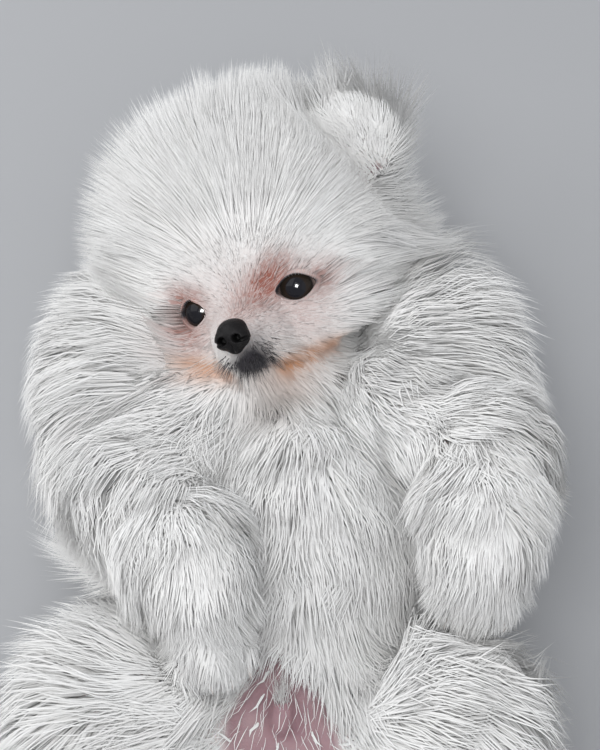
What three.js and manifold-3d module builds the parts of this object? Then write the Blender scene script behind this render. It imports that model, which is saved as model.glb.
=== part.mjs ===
// A pomeranian puppy lying on its back, life size, in millimetres.
// +X is the dog's left, +Y runs from the tail to the head, +Z is up, and the floor is at Z = 0.
import * as THREE from "three";
import { mergeVertices } from "three/addons/utils/BufferGeometryUtils.js";
import Module from "manifold-3d";

const wasm = await Module();
wasm.setup();

// Driving dimensions
const gap = 0.32; // air between two nodes that touch
const eyeSpacing = 34; // between the centres of the eyes
const eyeRadius = 6.4;
const noseWidth = 11.6;
const muzzleReach = 16; // from the plane of the eyes to the middle of the nose
const headRoll = 13.5; // degrees that the left eye stands above the right one
const headYaw = 22; // degrees that the face turns to the dog's right
const headPitch = 6; // degrees that the nose dips towards the chest
const viewRise = 72; // the head is posed to look at a viewer this many degrees above the floor
const eyeMiddle = new THREE.Vector3(-18.2, 22.3, 73.3);

const vec = (x, y, z) => new THREE.Vector3(x, y, z);
const rad = THREE.MathUtils.degToRad;
const lerp = THREE.MathUtils.lerp;
const clamp = THREE.MathUtils.clamp;

// Head frame: forward, up and left axes, turned from the viewer's direction
const viewUp = vec(0, Math.sin(rad(viewRise)), Math.cos(rad(viewRise)));
const viewBack = vec(0, -Math.cos(rad(viewRise)), Math.sin(rad(viewRise)));
const headForward = viewBack.clone();
const headUp = viewUp.clone();
const headLeft = vec(1, 0, 0);
const headAxes = [headForward, headUp, headLeft];

function turnHead(axis, degrees) {
  const about = axis.clone();
  for (const a of headAxes) a.applyAxisAngle(about, rad(degrees));
}
turnHead(headForward, headRoll);
turnHead(headUp, -headYaw);
turnHead(headLeft, headPitch);

const eyePlane = 19;
const eyeDrop = -4;
const headCentre = eyeMiddle
  .clone()
  .addScaledVector(headForward, -eyePlane)
  .addScaledVector(headUp, -eyeDrop);

// A point given in the head's own axes: forward, up, left
function onHead(f, u, l) {
  return headCentre
    .clone()
    .addScaledVector(headForward, f)
    .addScaledVector(headUp, u)
    .addScaledVector(headLeft, l);
}

// Distance fields: each returns a function of a point that is negative inside
const worldAxes = [vec(1, 0, 0), vec(0, 1, 0), vec(0, 0, 1)];

function ball(centre, radii, axes = worldAxes) {
  const q = vec(0, 0, 0);
  return (p) => {
    q.subVectors(p, centre);
    let near = 0;
    let steep = 0;
    for (let i = 0; i < 3; i++) {
      const t = q.dot(axes[i]) / radii[i];
      near += t * t;
      steep += (t * t) / (radii[i] * radii[i]);
    }
    near = Math.sqrt(near);
    return steep > 0 ? (near * (near - 1)) / Math.sqrt(steep) : -Math.min(...radii);
  };
}

function rod(a, b, radiusA, radiusB) {
  const along = b.clone().sub(a);
  const q = vec(0, 0, 0);
  return (p) => {
    q.subVectors(p, a);
    const t = clamp(q.dot(along) / along.lengthSq(), 0, 1);
    return q.addScaledVector(along, -t).length() - lerp(radiusA, radiusB, t);
  };
}

function blend(fields, round) {
  return (p) => {
    let d = fields[0](p);
    for (let i = 1; i < fields.length; i++) {
      const e = fields[i](p);
      const h = clamp(0.5 + (0.5 * (e - d)) / round, 0, 1);
      d = lerp(e, d, h) - round * h * (1 - h);
    }
    return d;
  };
}

function slope(field, p) {
  const step = 0.4;
  const g = vec(0, 0, 0);
  for (const axis of ["x", "y", "z"]) {
    const ahead = p.clone();
    const behind = p.clone();
    ahead[axis] += step;
    behind[axis] -= step;
    g[axis] = field(ahead) - field(behind);
  }
  return g.normalize();
}

// Distance from a point along a direction to where the field reaches a level
function reach(field, from, direction, level) {
  let low = 0;
  let high = 140;
  const p = vec(0, 0, 0);
  for (let i = 0; i < 22; i++) {
    const middle = (low + high) / 2;
    p.copy(from).addScaledVector(direction, middle);
    if (field(p) < level) low = middle;
    else high = middle;
  }
  return low;
}

// Solids
function weld(geometry, tolerance) {
  const bare = geometry.clone();
  bare.deleteAttribute("normal");
  bare.deleteAttribute("uv");
  return mergeVertices(bare, tolerance);
}

function manifold(vertProperties, triVerts) {
  return new wasm.Manifold(new wasm.Mesh({ numProp: 3, vertProperties, triVerts }));
}

function solid(geometry) {
  const welded = weld(geometry, 1e-4);
  const position = new Float32Array(welded.attributes.position.array);
  return manifold(position, new Uint32Array(welded.index.array));
}

function solidOf(corners, triangles) {
  const position = new Float32Array(corners.flatMap((c) => [c.x, c.y, c.z]));
  return manifold(position, new Uint32Array(triangles));
}

// The sphere is moved off round numbers while its vertices are welded
function unitSphere(detail) {
  const aside = 0.01234567;
  const sphere = new THREE.IcosahedronGeometry(1, detail).translate(aside, aside, aside);
  return weld(sphere, 1e-4).translate(-aside, -aside, -aside);
}

// A closed surface round a centre, with each vertex of a sphere moved out to the field's level.
// A lean packs the vertices closer on one side.
function starSolid(centre, field, level, detail, lean = vec(0, 0, 0)) {
  const geometry = unitSphere(detail);
  const position = geometry.attributes.position;
  const direction = vec(0, 0, 0);
  for (let i = 0; i < position.count; i++) {
    direction.fromBufferAttribute(position, i).normalize().add(lean).normalize();
    const out = reach(field, centre, direction, level);
    direction.multiplyScalar(out).add(centre);
    position.setXYZ(i, direction.x, direction.y, direction.z);
  }
  return solid(geometry);
}

const floorBlock = solid(
  new THREE.BoxGeometry(900, 900, 100).translate(0, 0, -50),
);

function geometryOf(shape) {
  const made = shape.getMesh();
  const geometry = new THREE.BufferGeometry();
  geometry.setAttribute("position", new THREE.BufferAttribute(made.vertProperties, 3));
  geometry.setIndex(new THREE.BufferAttribute(made.triVerts, 1));
  return geometry;
}

// Only the largest closed surface of a node is kept, so a sealed hollow is filled and a scrap dropped.
// It is welded and looked at again until one body is left, as a hollow may hang on by a single vertex.
const weldGap = 1e-3;
function largest(shape) {
  const aside = weldGap * 0.37;
  let kept = shape;
  for (let pass = 0; pass < 6; pass++) {
    const loose = geometryOf(kept).toNonIndexed().translate(aside * pass, 0, 0);
    const welded = mergeVertices(loose, weldGap).translate(-aside * pass, 0, 0);
    const bodies = manifold(welded.attributes.position.array, welded.index.array).decompose();
    kept = bodies.reduce((a, b) => (b.volume() > a.volume() ? b : a));
    if (bodies.length === 1 && pass > 1) break;
  }
  return kept;
}

// True where each edge of the welded surface joins just two faces
function isTidy(shape) {
  const welded = mergeVertices(geometryOf(shape).toNonIndexed(), 1e-4);
  const index = welded.index.array;
  const seen = new Set();
  for (let i = 0; i < index.length; i += 3) {
    for (let k = 0; k < 3; k++) {
      const edge = index[i + k] + ">" + index[i + ((k + 1) % 3)];
      if (seen.has(edge)) return false;
      seen.add(edge);
    }
  }
  return true;
}

// The face without its long coat
const faceField = blend(
  [
    ball(onHead(-4, 5, 0), [27, 29, 29], headAxes),
    ball(onHead(21, -14, 0), [15, 10.5, 12], headAxes),
    ball(onHead(18, -21, 0), [12, 7, 9], headAxes),
    ball(onHead(6, -12, 17), [13, 14, 12], headAxes),
    ball(onHead(6, -12, -17), [13, 14, 12], headAxes),
  ],
  7,
);

// The body's cores: a centre and a field for each node that carries coat
const cores = {
  head: {
    centre: onHead(0, 8, 0),
    field: blend([faceField, ball(onHead(-8, 15, 0), [31, 36, 37], headAxes)], 6),
    detail: 5,
  },
  neck: {
    centre: vec(-6, 8, 28),
    field: blend([ball(vec(-6, 0, 31), [36, 30, 31]), ball(vec(-10, 36, 18), [36, 36, 19])], 14),
    detail: 2,
  },
  ruff_left: {
    centre: vec(42, 6, 34),
    field: ball(vec(42, 6, 34), [20, 34, 30]),
    detail: 2,
  },
  ruff_right: {
    centre: vec(-54, 0, 31),
    field: ball(vec(-54, 0, 31), [19, 36, 28]),
    detail: 2,
  },
  chest: {
    centre: vec(0, -46, 38),
    field: ball(vec(0, -44, 38), [37, 40, 39]),
    detail: 3,
  },
  belly: {
    centre: vec(-2, -112, 30),
    field: blend([ball(vec(-3, -98, 32), [35, 34, 33]), ball(vec(-2, -130, 30), [34, 24, 31])], 8),
    detail: 4,
  },
};

// Legs: rods between joints, in one node down to the wrist or hock and one for each foot
const joints = {
  shoulder: { left: vec(30, -10, 52), right: vec(-30, -14, 52) },
  elbow: { left: vec(56.4, -27.5, 70.6), right: vec(-49, -40, 70) },
  wrist: { left: vec(54, -55, 86), right: vec(-32, -64, 85) },
  fingers: { left: vec(53, -72, 77), right: vec(-26, -88, 79) },
  hip: { left: vec(18, -122, 38), right: vec(-22, -122, 38) },
  knee: { left: vec(46, -104, 62), right: vec(-55, -103, 62) },
  hock: { left: vec(60, -146, 60), right: vec(-68, -144, 60) },
  toes: { left: vec(57, -172, 76), right: vec(-64, -171, 76) },
};
const legs = {
  foreleg: { joints: ["shoulder", "elbow", "wrist"], thick: [17, 15, 12], detail: 2 },
  hindleg: { joints: ["hip", "knee", "hock"], thick: [24, 17, 10], detail: 2 },
};
const feet = {
  forepaw: { joints: ["wrist", "fingers"], thick: [11.5, 10], toe: 5.2 },
  hindfoot: { joints: ["hock", "toes"], thick: [9.2, 8], toe: 4.6 },
};

function footField(a, b, thick, toe) {
  const along = b.clone().sub(a).normalize();
  const across = along.clone().cross(vec(0, 0, 1)).normalize();
  const parts = [rod(a, b, ...thick)];
  for (const place of [-1.5, -0.5, 0.5, 1.5]) {
    const reachOn = 6.5 - Math.abs(place) * 1.6;
    const centre = b.clone().addScaledVector(along, reachOn).addScaledVector(across, place * toe * 1.15);
    parts.push(ball(centre, [toe, toe, toe]));
  }
  return blend(parts, 1.6);
}

for (const side of ["left", "right"]) {
  for (const [name, leg] of Object.entries(legs)) {
    const [a, b, c] = leg.joints.map((joint) => joints[joint][side]);
    cores[name + "_" + side] = {
      centre: b,
      field: blend([rod(a, b, leg.thick[0], leg.thick[1]), rod(b, c, leg.thick[1], leg.thick[2])], 3),
      along: (p) => (p.distanceTo(a) < p.distanceTo(c) ? b.clone().sub(a) : c.clone().sub(b)).normalize(),
      detail: leg.detail,
    };
  }
  for (const [name, foot] of Object.entries(feet)) {
    const [a, b] = foot.joints.map((joint) => joints[joint][side]);
    cores[name + "_" + side] = {
      centre: a.clone().lerp(b, 0.6),
      field: footField(a, b, foot.thick, foot.toe),
      lean: b.clone().sub(a).normalize().multiplyScalar(0.35),
      detail: 3,
    };
  }
}

const tailPath = [vec(-2, -146, 22), vec(-6, -176, 14), vec(-15, -210, 11)];
cores.tail = {
  centre: tailPath[1],
  field: blend([rod(tailPath[0], tailPath[1], 14, 13), rod(tailPath[1], tailPath[2], 13, 8)], 3),
  along: (p) => (p.y > tailPath[1].y ? vec(-0.1, -1, -0.2) : vec(-0.3, -1, 0)),
  detail: 2,
};

// Order of making: an earlier node keeps its shape and a later one is cut clear of it
const order = ["eye_left", "eye_right", "nose", "ear_left", "ear_right", "head"];
for (const name of ["ruff", "forepaw", "foreleg", "hindfoot", "hindleg"]) {
  order.push(name + "_left", name + "_right");
}
order.push("neck", "chest", "belly", "tail");

function coresWithout(skip) {
  const names = Object.keys(cores).filter((name) => name !== skip);
  return blend(names.map((name) => cores[name].field), 10);
}
const bodyField = coresWithout("");

const kindOf = (name) => name.replace(/_(left|right)$/, "");
const signOf = (name) => (name.endsWith("_left") ? 1 : -1);

// The same numbers on every run
function dice(seed) {
  let state = seed;
  return () => {
    state = (state + 0x6d2b79f5) | 0;
    let t = Math.imul(state ^ (state >>> 15), 1 | state);
    t = (t + Math.imul(t ^ (t >>> 7), 61 | t)) ^ t;
    return ((t ^ (t >>> 14)) >>> 0) / 4294967296;
  };
}

// Which way the hair lies at a point, before it is laid along the surface
const outward = (p, middleX) => clamp((p.x - middleX) / 30, -1, 1);
const lies = {
  head: (p) => {
    const side = p.clone().sub(headCentre).dot(headLeft) / 30;
    const height = p.clone().sub(headCentre).dot(headUp);
    const drop = height < 0 ? -0.7 : 0.45;
    return vec(0, 0, 0)
      .addScaledVector(headForward, -0.8)
      .addScaledVector(headUp, drop)
      .addScaledVector(headLeft, clamp(side, -1, 1) * 0.7);
  },
  ruff: (p, sign) => vec(sign * 0.9, -0.55 + (p.y - 5) / 60, -0.25),
  neck: (p) => vec(outward(p, -6) * 0.6, -0.9, 0),
  chest: (p) => vec(outward(p, 0) * 0.45, -1, 0),
  belly: (p) => vec(outward(p, -3) * 0.8, -0.8, 0),
  foreleg: (p, sign, along) => along.add(vec(sign * 0.3, -0.3, -0.45)),
  hindleg: (p, sign, along) => along.add(vec(sign * 0.9, -0.7, -0.4)),
  tail: (p, sign, along) => along.add(vec(outward(p, -6) * 0.9, 0, 0)),
};

// The long coat: tries is how many roots are spread over the whole core, of which the free ones grow a lock
const coats = {
  head: { tries: 43, long: 42, wide: 30, thick: 6, rise: [56, 6] },
  ruff: { tries: 17, long: 44, wide: 33, thick: 6, rise: [46, 6] },
  neck: { tries: 52, long: 36, wide: 30, thick: 5.6, rise: [36, 4] },
  chest: { tries: 22, long: 36, wide: 32, thick: 5.6, rise: [34, 4] },
  belly: { tries: 46, long: 30, wide: 26, thick: 5, rise: [32, 4] },
  foreleg: { tries: 12, long: 28, wide: 26, thick: 5, rise: [36, 4] },
  hindleg: { tries: 15, long: 36, wide: 34, thick: 5.4, rise: [42, 8] },
  tail: { tries: 14, long: 42, wide: 28, thick: 5, rise: [46, 10] },
};
const rootSunk = 4.5;
const lockStations = [0, 0.38, 0.74, 1];
const lockWidths = [0.7, 1, 0.66, 0];
const lockThicknesses = [1, 1, 0.7, 0];

// The face stays clear of locks, and so does the opening of the ear that shows
const faceEnd = vec(14, 15, 24);
const earCentres = { left: onHead(-5, 34, 44), right: onHead(-14, 30, -38) };
function isBare(name, p) {
  if (name === "head") {
    const q = p.clone().sub(headCentre);
    const f = q.dot(headForward);
    const u = q.dot(headUp);
    const l = Math.abs(q.dot(headLeft));
    if (f > faceEnd.x - l * 0.25 && u < faceEnd.y) return true;
    if (u < -14) return true;
    return q.addScaledVector(headForward, -2).add(headCentre).distanceTo(earCentres.left) < 15;
  }
  if (name === "belly") return p.z > 52 && Math.abs(p.x + 4) < 15;
  return false;
}

// Root points spread evenly over a core. Near an earlier node that node's own locks cover the coat.
const borderBefore = 3.5;
const borderAfter = 0.5;
function rootPoints(name, tries) {
  const core = cores[name];
  const others = Object.entries(cores).filter(([other]) => other !== name);
  const place = order.indexOf(name);
  const border = (other) => (order.indexOf(other) < place ? borderBefore : borderAfter);
  const found = [];
  for (let i = 0; i < tries; i++) {
    const z = 1 - (2 * i + 1) / tries;
    const turn = i * Math.PI * (3 - Math.sqrt(5));
    const flat = Math.sqrt(1 - z * z);
    const direction = vec(flat * Math.cos(turn), flat * Math.sin(turn), z);
    const out = reach(core.field, core.centre, direction, 0);
    const p = core.centre.clone().addScaledVector(direction, out);
    if (p.z < 5 || isBare(name, p)) continue;
    if (others.some(([key, other]) => other.field(p) < border(key))) continue;
    found.push(p);
  }
  return found;
}

// A lock's path glides over the body, rising from the core to the outer coat
function lockPath(root, name, coat, roll) {
  const kind = kindOf(name);
  const along = cores[name].along || (() => vec(0, -1, 0));
  const otherField = coresWithout(name);
  const clear = coat.thick * 0.5 + 1;
  const long = coat.long * lerp(0.85, 1.12, roll());
  const swing = lerp(-0.3, 0.3, roll());
  const steps = 12;
  const p = root.clone();
  p.addScaledVector(slope(bodyField, p), -rootSunk);
  const points = [];
  const faces = [];
  for (let i = 0; i <= steps; i++) {
    const t = i / steps;
    const normal = slope(bodyField, p);
    const lie = lies[kind](p, signOf(name), along(p)).applyAxisAngle(normal, swing);
    lie.addScaledVector(normal, -lie.dot(normal)).normalize();
    const angle = rad(lerp(coat.rise[0], coat.rise[1], t));
    points.push(p.clone());
    faces.push(normal);
    p.addScaledVector(lie, (Math.cos(angle) * long) / steps);
    p.addScaledVector(normal, (Math.sin(angle) * long) / steps);
    const short = clear * Math.min(1, 2 * t) - otherField(p);
    if (short > 0) p.addScaledVector(slope(otherField, p), short);
    p.z = Math.max(p.z, coat.thick * 0.5);
  }
  return { points, faces };
}

// A path that has to turn sharply round another part would fold its lock over
function isFolded({ points, faces }) {
  const last = points.length - 1;
  const whole = points[last].clone().sub(points[0]).normalize();
  let before = null;
  for (let i = 1; i <= last; i++) {
    const step = points[i].clone().sub(points[i - 1]).normalize();
    const side = step.clone().cross(faces[i]).normalize();
    if (step.dot(whole) < 0.2 || (before && side.dot(before) < 0.5)) return true;
    before = side;
  }
  return false;
}

// A blade with a flat underside and a low ridge that narrows to its tip
const lockSides = 3;
function lockSolid(path, coat, size, tilt, grow) {
  const { points, faces } = path;
  const last = points.length - 1;
  const corners = [];
  const triangles = [];
  for (let s = 0; s < lockStations.length; s++) {
    const i = Math.round(lockStations[s] * last);
    const ahead = points[Math.min(i + 1, last)].clone().sub(points[Math.max(i - 1, 0)]).normalize();
    const side = ahead.clone().cross(faces[i]).normalize().applyAxisAngle(ahead, tilt);
    const top = side.clone().cross(ahead).normalize();
    const half = coat.wide * 0.5 * size * lockWidths[s];
    const high = coat.thick * 0.5 * size * lockThicknesses[s];
    const at = points[i].clone();
    if (s === lockStations.length - 1) {
      corners.push(at.addScaledVector(ahead, grow * 5));
      continue;
    }
    const w = half + (grow * Math.hypot(half, high) * 1.5) / high;
    const h = high + (grow * Math.hypot(half, high)) / half;
    if (s === 0) at.addScaledVector(ahead, -grow);
    at.addScaledVector(top, -high * 0.4 - grow);
    corners.push(at.clone().addScaledVector(side, w));
    corners.push(at.clone().addScaledVector(top, h + high * 0.9 + grow));
    corners.push(at.clone().addScaledVector(side, -w));
  }
  const rings = lockStations.length - 1;
  for (let s = 0; s < rings; s++) {
    for (let k = 0; k < lockSides; k++) {
      const a = s * lockSides + k;
      const b = s * lockSides + ((k + 1) % lockSides);
      if (s === rings - 1) {
        triangles.push(b, a, rings * lockSides);
      } else {
        triangles.push(b, a, b + lockSides, b + lockSides, a, a + lockSides);
      }
    }
  }
  triangles.push(0, 1, 2);
  return solidOf(corners, triangles);
}

// The locks of a node, once at their size and once grown by the gap
function lockSolids(name, attempt) {
  const coat = coats[kindOf(name)];
  if (!coat) return { plain: [], fat: [] };
  const roll = dice(order.indexOf(name) * 977 + attempt * 31 + 17);
  const plain = [];
  const fat = [];
  for (const root of rootPoints(name, coat.tries)) {
    const path = lockPath(root, name, coat, roll);
    if (isFolded(path)) continue;
    const size = lerp(0.86, 1.1, roll());
    const tilt = lerp(-0.25, 0.25, roll());
    plain.push(lockSolid(path, coat, size, tilt, 0));
    fat.push(lockSolid(path, coat, size, tilt, gap));
  }
  return { plain, fat };
}

// Face pieces
const eyes = {};
for (const [side, sign] of [["left", 1], ["right", -1]]) {
  eyes[side] = onHead(eyePlane - eyeRadius, eyeDrop, (sign * eyeSpacing) / 2);
}
const noseCentre = onHead(eyePlane + muzzleReach - 1, -12.8, 0);
const eyeOpening = [6.3, 4.3]; // half its width and half its height
const lidThickness = 1.1;
const gazeOut = 14; // degrees that each eye looks away from straight ahead

// The almond between the lids, cut out along the gaze
function eyeAlmond(side) {
  const sign = side === "left" ? 1 : -1;
  const gaze = headForward.clone().applyAxisAngle(headUp, rad(sign * gazeOut));
  const across = headUp.clone().cross(gaze).normalize();
  const outline = new THREE.Shape();
  const count = 12;
  for (let i = 0; i < count; i++) {
    const t = (i / count) * 2 * Math.PI;
    const x = eyeOpening[0] * Math.cos(t);
    const y = eyeOpening[1] * Math.sin(t) * Math.abs(Math.sin(t)) ** 0.3;
    if (i === 0) outline.moveTo(x, y);
    else outline.lineTo(x, y);
  }
  const prism = new THREE.ExtrudeGeometry(outline, { depth: 10, bevelEnabled: false });
  const turn = new THREE.Matrix4().makeBasis(across, headUp, gaze);
  prism.translate(0, 0.2, 1.5).applyMatrix4(turn);
  return solid(prism.translate(eyes[side].x, eyes[side].y, eyes[side].z));
}

// A tube along the mouth, from one corner round the front to the other, at a height on the muzzle
function mouthTube(drop, radius) {
  const from = onHead(10, -17, 0);
  const points = [];
  const count = 10;
  for (let i = 0; i <= count; i++) {
    const turn = rad(lerp(-78, 78, i / count));
    const direction = vec(0, 0, 0)
      .addScaledVector(headForward, Math.cos(turn))
      .addScaledVector(headLeft, Math.sin(turn))
      .addScaledVector(headUp, drop + 0.14 * Math.abs(turn));
    direction.normalize();
    points.push(from.clone().addScaledVector(direction, reach(faceField, from, direction, 0)));
  }
  const outline = new THREE.Shape();
  const sides = 4;
  for (let i = 0; i < sides; i++) {
    const t = (i / sides) * 2 * Math.PI;
    if (i === 0) outline.moveTo(radius, 0);
    else outline.lineTo(radius * Math.cos(t), radius * Math.sin(t));
  }
  const path = new THREE.CatmullRomCurve3(points);
  return solid(new THREE.ExtrudeGeometry(outline, { steps: 9, extrudePath: path, bevelEnabled: false }));
}

function noseSolid(grow) {
  const radii = [4.6, 5.2, noseWidth / 2];
  let nose = starSolid(noseCentre, ball(noseCentre, radii, headAxes), grow, 2);
  if (grow > 0) return nose;
  for (const sign of [1, -1]) {
    const hole = noseCentre.clone().addScaledVector(headForward, 4).addScaledVector(headLeft, sign * 2.5);
    nose = nose.subtract(starSolid(hole, ball(hole, [2.4, 1.2, 1.4], headAxes), 0, 1));
    const slit = hole.clone().addScaledVector(headLeft, sign * 2.2).addScaledVector(headUp, -1);
    nose = nose.subtract(starSolid(slit, ball(slit, [2.6, 0.55, 1.8], headAxes), 0, 1));
  }
  const groove = noseCentre.clone().addScaledVector(headForward, 4).addScaledVector(headUp, -3.2);
  return nose.subtract(starSolid(groove, ball(groove, [1.6, 2.6, 0.5], headAxes), 0, 1));
}

// An ear is a rounded flap that is hollow in front
function earSolid(side, grow) {
  const sign = side === "left" ? 1 : -1;
  const centre = earCentres[side];
  const base = centre.clone();
  base.addScaledVector(headForward, -3).addScaledVector(headUp, -11).addScaledVector(headLeft, -sign * 9);
  const tip = centre.clone().addScaledVector(headUp, 7).addScaledVector(headLeft, -sign * 2);
  const flap = blend(
    [
      ball(centre, [5, 11, 12], headAxes),
      ball(tip, [4, 8, 7], headAxes),
      ball(base, [6, 9, 9], headAxes),
    ],
    5,
  );
  const ear = starSolid(centre, flap, grow, 2);
  if (grow > 0) return ear;
  const cup = centre.clone().addScaledVector(headForward, 3.6);
  const hollow = blend(
    [ball(cup, [5.5, 8.5, 8.5], headAxes), ball(cup.clone().addScaledVector(headUp, 6), [4, 6, 4.5], headAxes)],
    4,
  );
  return ear.subtract(starSolid(cup, hollow, 0, 1));
}

function headSolid(grow) {
  const core = cores.head;
  const lean = headForward.clone().multiplyScalar(0.5).addScaledVector(headUp, -0.15);
  let head = starSolid(core.centre, core.field, grow, core.detail, lean);
  for (const side of ["left", "right"]) {
    const radius = eyeRadius + gap + lidThickness;
    head = head.add(starSolid(eyes[side], ball(eyes[side], [radius, radius, radius]), grow, 2));
  }
  head = head.add(mouthTube(-0.24, 1.6 + grow)).add(mouthTube(-0.62, 1.3 + grow));
  if (grow > 0) return head;
  head = head.subtract(mouthTube(-0.44, 0.8));
  return head.subtract(eyeAlmond("left")).subtract(eyeAlmond("right"));
}

function bareSolid(name, grow) {
  const side = name.endsWith("_left") ? "left" : "right";
  if (name.startsWith("eye_")) {
    return starSolid(eyes[side], ball(eyes[side], [eyeRadius, eyeRadius, eyeRadius]), grow, 2);
  }
  if (name === "nose") return noseSolid(grow);
  if (name.startsWith("ear_")) return earSolid(side, grow);
  if (name === "head") return headSolid(grow);
  const core = cores[name];
  return starSolid(core.centre, core.field, grow, core.detail, core.lean);
}

const group = new THREE.Group();

function addNode(name, shape, colour, roughness) {
  const geometry = geometryOf(shape);
  geometry.computeVertexNormals();
  const material = new THREE.MeshStandardMaterial({ color: colour, roughness, metalness: 0 });
  const mesh = new THREE.Mesh(geometry, material);
  mesh.name = name;
  group.add(mesh);
}

const finishes = {
  eye: [0x0b0807, 0.08],
  nose: [0x121113, 0.35],
};
const coatFinish = [0xf4f2ee, 0.9];

// Each core is cut clear of the earlier cores, and each coat of every other core and the earlier coats
const fatCores = {};
for (const name of order) fatCores[name] = bareSolid(name, gap);
const fatCoats = [];
const finished = [];
// Where an earlier node had a hollow filled, a later one is cut clear of it all round
function clearOf(shape, other) {
  let cut = shape;
  for (const axis of worldAxes) {
    for (const sign of [1, -1]) {
      const step = axis.clone().multiplyScalar(sign * gap);
      cut = cut.subtract(other.translate([step.x, step.y, step.z]));
    }
  }
  return cut;
}

function makeNode(name, attempt) {
  const before = order.slice(0, order.indexOf(name));
  let shape = bareSolid(name, 0);
  for (const other of before) shape = shape.subtract(fatCores[other]);
  const locks = lockSolids(name, attempt);
  if (locks.plain.length) {
    let coat = wasm.Manifold.union(locks.plain);
    for (const other of order) {
      if (other !== name) coat = coat.subtract(fatCores[other]);
    }
    for (const fat of fatCoats) coat = coat.subtract(fat);
    shape = shape.add(coat);
  }
  for (const other of finished) {
    if (shape.intersect(other).volume() > 0) shape = clearOf(shape, other);
  }
  return { shape: largest(shape.subtract(floorBlock)), fat: locks.fat };
}

// A coat whose locks touch along a line is drawn again
const mostAttempts = 8;
for (const name of order) {
  let made = makeNode(name, 0);
  for (let attempt = 1; attempt < mostAttempts && !isTidy(made.shape); attempt++) {
    made = makeNode(name, attempt);
  }
  finished.push(made.shape);
  if (made.fat.length) fatCoats.push(wasm.Manifold.union(made.fat));
  const [colour, roughness] = finishes[name.split("_")[0]] || coatFinish;
  addNode(name, made.shape, colour, roughness);
}

// The origin is the middle of the model's box, on the floor
const middle = new THREE.Box3().setFromObject(group).getCenter(vec(0, 0, 0));
group.position.set(-middle.x, -middle.y, 0);

export default group;
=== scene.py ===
# A white pomeranian puppy lying on its back: its skin, coat, eyes, nose and their finishes
# Sizes are millimetres in the dog's own frame: +X is its left side, +Y runs from tail to head
import math

import bmesh
import bpy
import numpy as np
from mathutils import Matrix, Vector, kdtree


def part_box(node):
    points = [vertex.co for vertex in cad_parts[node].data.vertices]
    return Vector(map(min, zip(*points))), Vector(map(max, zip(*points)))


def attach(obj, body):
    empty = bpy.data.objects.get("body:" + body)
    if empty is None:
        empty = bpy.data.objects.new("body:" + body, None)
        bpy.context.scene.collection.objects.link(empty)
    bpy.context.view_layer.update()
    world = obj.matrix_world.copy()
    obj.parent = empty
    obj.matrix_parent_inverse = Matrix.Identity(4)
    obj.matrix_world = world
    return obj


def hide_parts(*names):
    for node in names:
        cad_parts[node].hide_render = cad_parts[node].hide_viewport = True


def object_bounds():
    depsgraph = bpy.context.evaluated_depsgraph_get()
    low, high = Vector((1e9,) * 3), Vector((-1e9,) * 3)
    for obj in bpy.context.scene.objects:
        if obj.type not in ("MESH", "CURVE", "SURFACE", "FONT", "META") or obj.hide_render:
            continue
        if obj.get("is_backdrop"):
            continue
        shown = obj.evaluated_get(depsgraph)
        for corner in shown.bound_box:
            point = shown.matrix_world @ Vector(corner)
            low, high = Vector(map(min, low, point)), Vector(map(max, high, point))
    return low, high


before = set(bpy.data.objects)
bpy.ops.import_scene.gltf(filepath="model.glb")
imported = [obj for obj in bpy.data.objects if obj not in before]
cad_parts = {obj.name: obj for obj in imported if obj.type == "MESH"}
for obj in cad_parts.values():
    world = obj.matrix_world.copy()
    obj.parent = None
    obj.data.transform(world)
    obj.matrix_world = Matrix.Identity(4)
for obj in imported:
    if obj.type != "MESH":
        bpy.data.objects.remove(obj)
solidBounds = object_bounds()
rng = np.random.default_rng(11)
vec = lambda *numbers: np.array(numbers, float)


def unit(v):
    return v / np.maximum(np.linalg.norm(v, axis=-1, keepdims=True), 1e-9)


def mix(a, b, t):
    return a + (b - a) * t


def smooth(low, high, x):
    t = np.clip((x - low) / (high - low), 0, 1)
    return t * t * (3 - 2 * t)


def bump(x, width):
    return np.exp(-((x / width) ** 2))


def turned(v, axis, degrees):
    a = math.radians(degrees)
    axis = unit(axis)
    straight = axis * (v @ axis) * (1 - math.cos(a))
    return v * math.cos(a) + np.cross(axis, v) * math.sin(a) + straight


# Head: the same sizes as the solids
face = {
    "eyeMiddle": vec(-18.2, 22.3, 73.3),
    "eyeSpacing": 34,
    "eyeRadius": 6.4,
    "eyePlane": 19,
    "eyeDrop": -4,
    "muzzleReach": 16,
    "noseDrop": -12.8,
    "roll": 13.5,
    "yaw": 22,
    "pitch": 6,
    "viewRise": 72,
}
rise = math.radians(face["viewRise"])
headAxes = np.array([[0, -math.cos(rise), math.sin(rise)], [0, math.sin(rise), math.cos(rise)], [1, 0, 0]])
for axisIndex, degrees in ((0, face["roll"]), (1, -face["yaw"]), (2, face["pitch"])):
    about = headAxes[axisIndex].copy()
    headAxes = np.array([turned(axis, about, degrees) for axis in headAxes])
headForward, headUp, headLeft = headAxes
headCentre = face["eyeMiddle"] - headForward * face["eyePlane"] - headUp * face["eyeDrop"]


def onHead(f, u, l):
    return headCentre + f * headForward + u * headUp + l * headLeft


def inHead(points):
    return ((points - headCentre) @ headAxes.T).T


eyes = {}
gazes = {}
for side, sign in (("left", 1), ("right", -1)):
    eyes[side] = onHead(face["eyePlane"] - face["eyeRadius"], face["eyeDrop"], sign * face["eyeSpacing"] / 2)
    gazes[side] = turned(headForward, headUp, sign * 14)
noseCentre = onHead(face["eyePlane"] + face["muzzleReach"] - 1, face["noseDrop"], 0)

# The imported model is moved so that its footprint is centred, so the dog's frame is shifted by as much
low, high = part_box("eye_left")
shift = np.array((low + high) / 2) * 1000 - eyes["left"]


def toMetres(points):
    return (points + shift) * 0.001


# Round forms as (distance function, rough spheres), joined smoothly
worldAxes = np.eye(3)


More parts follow.
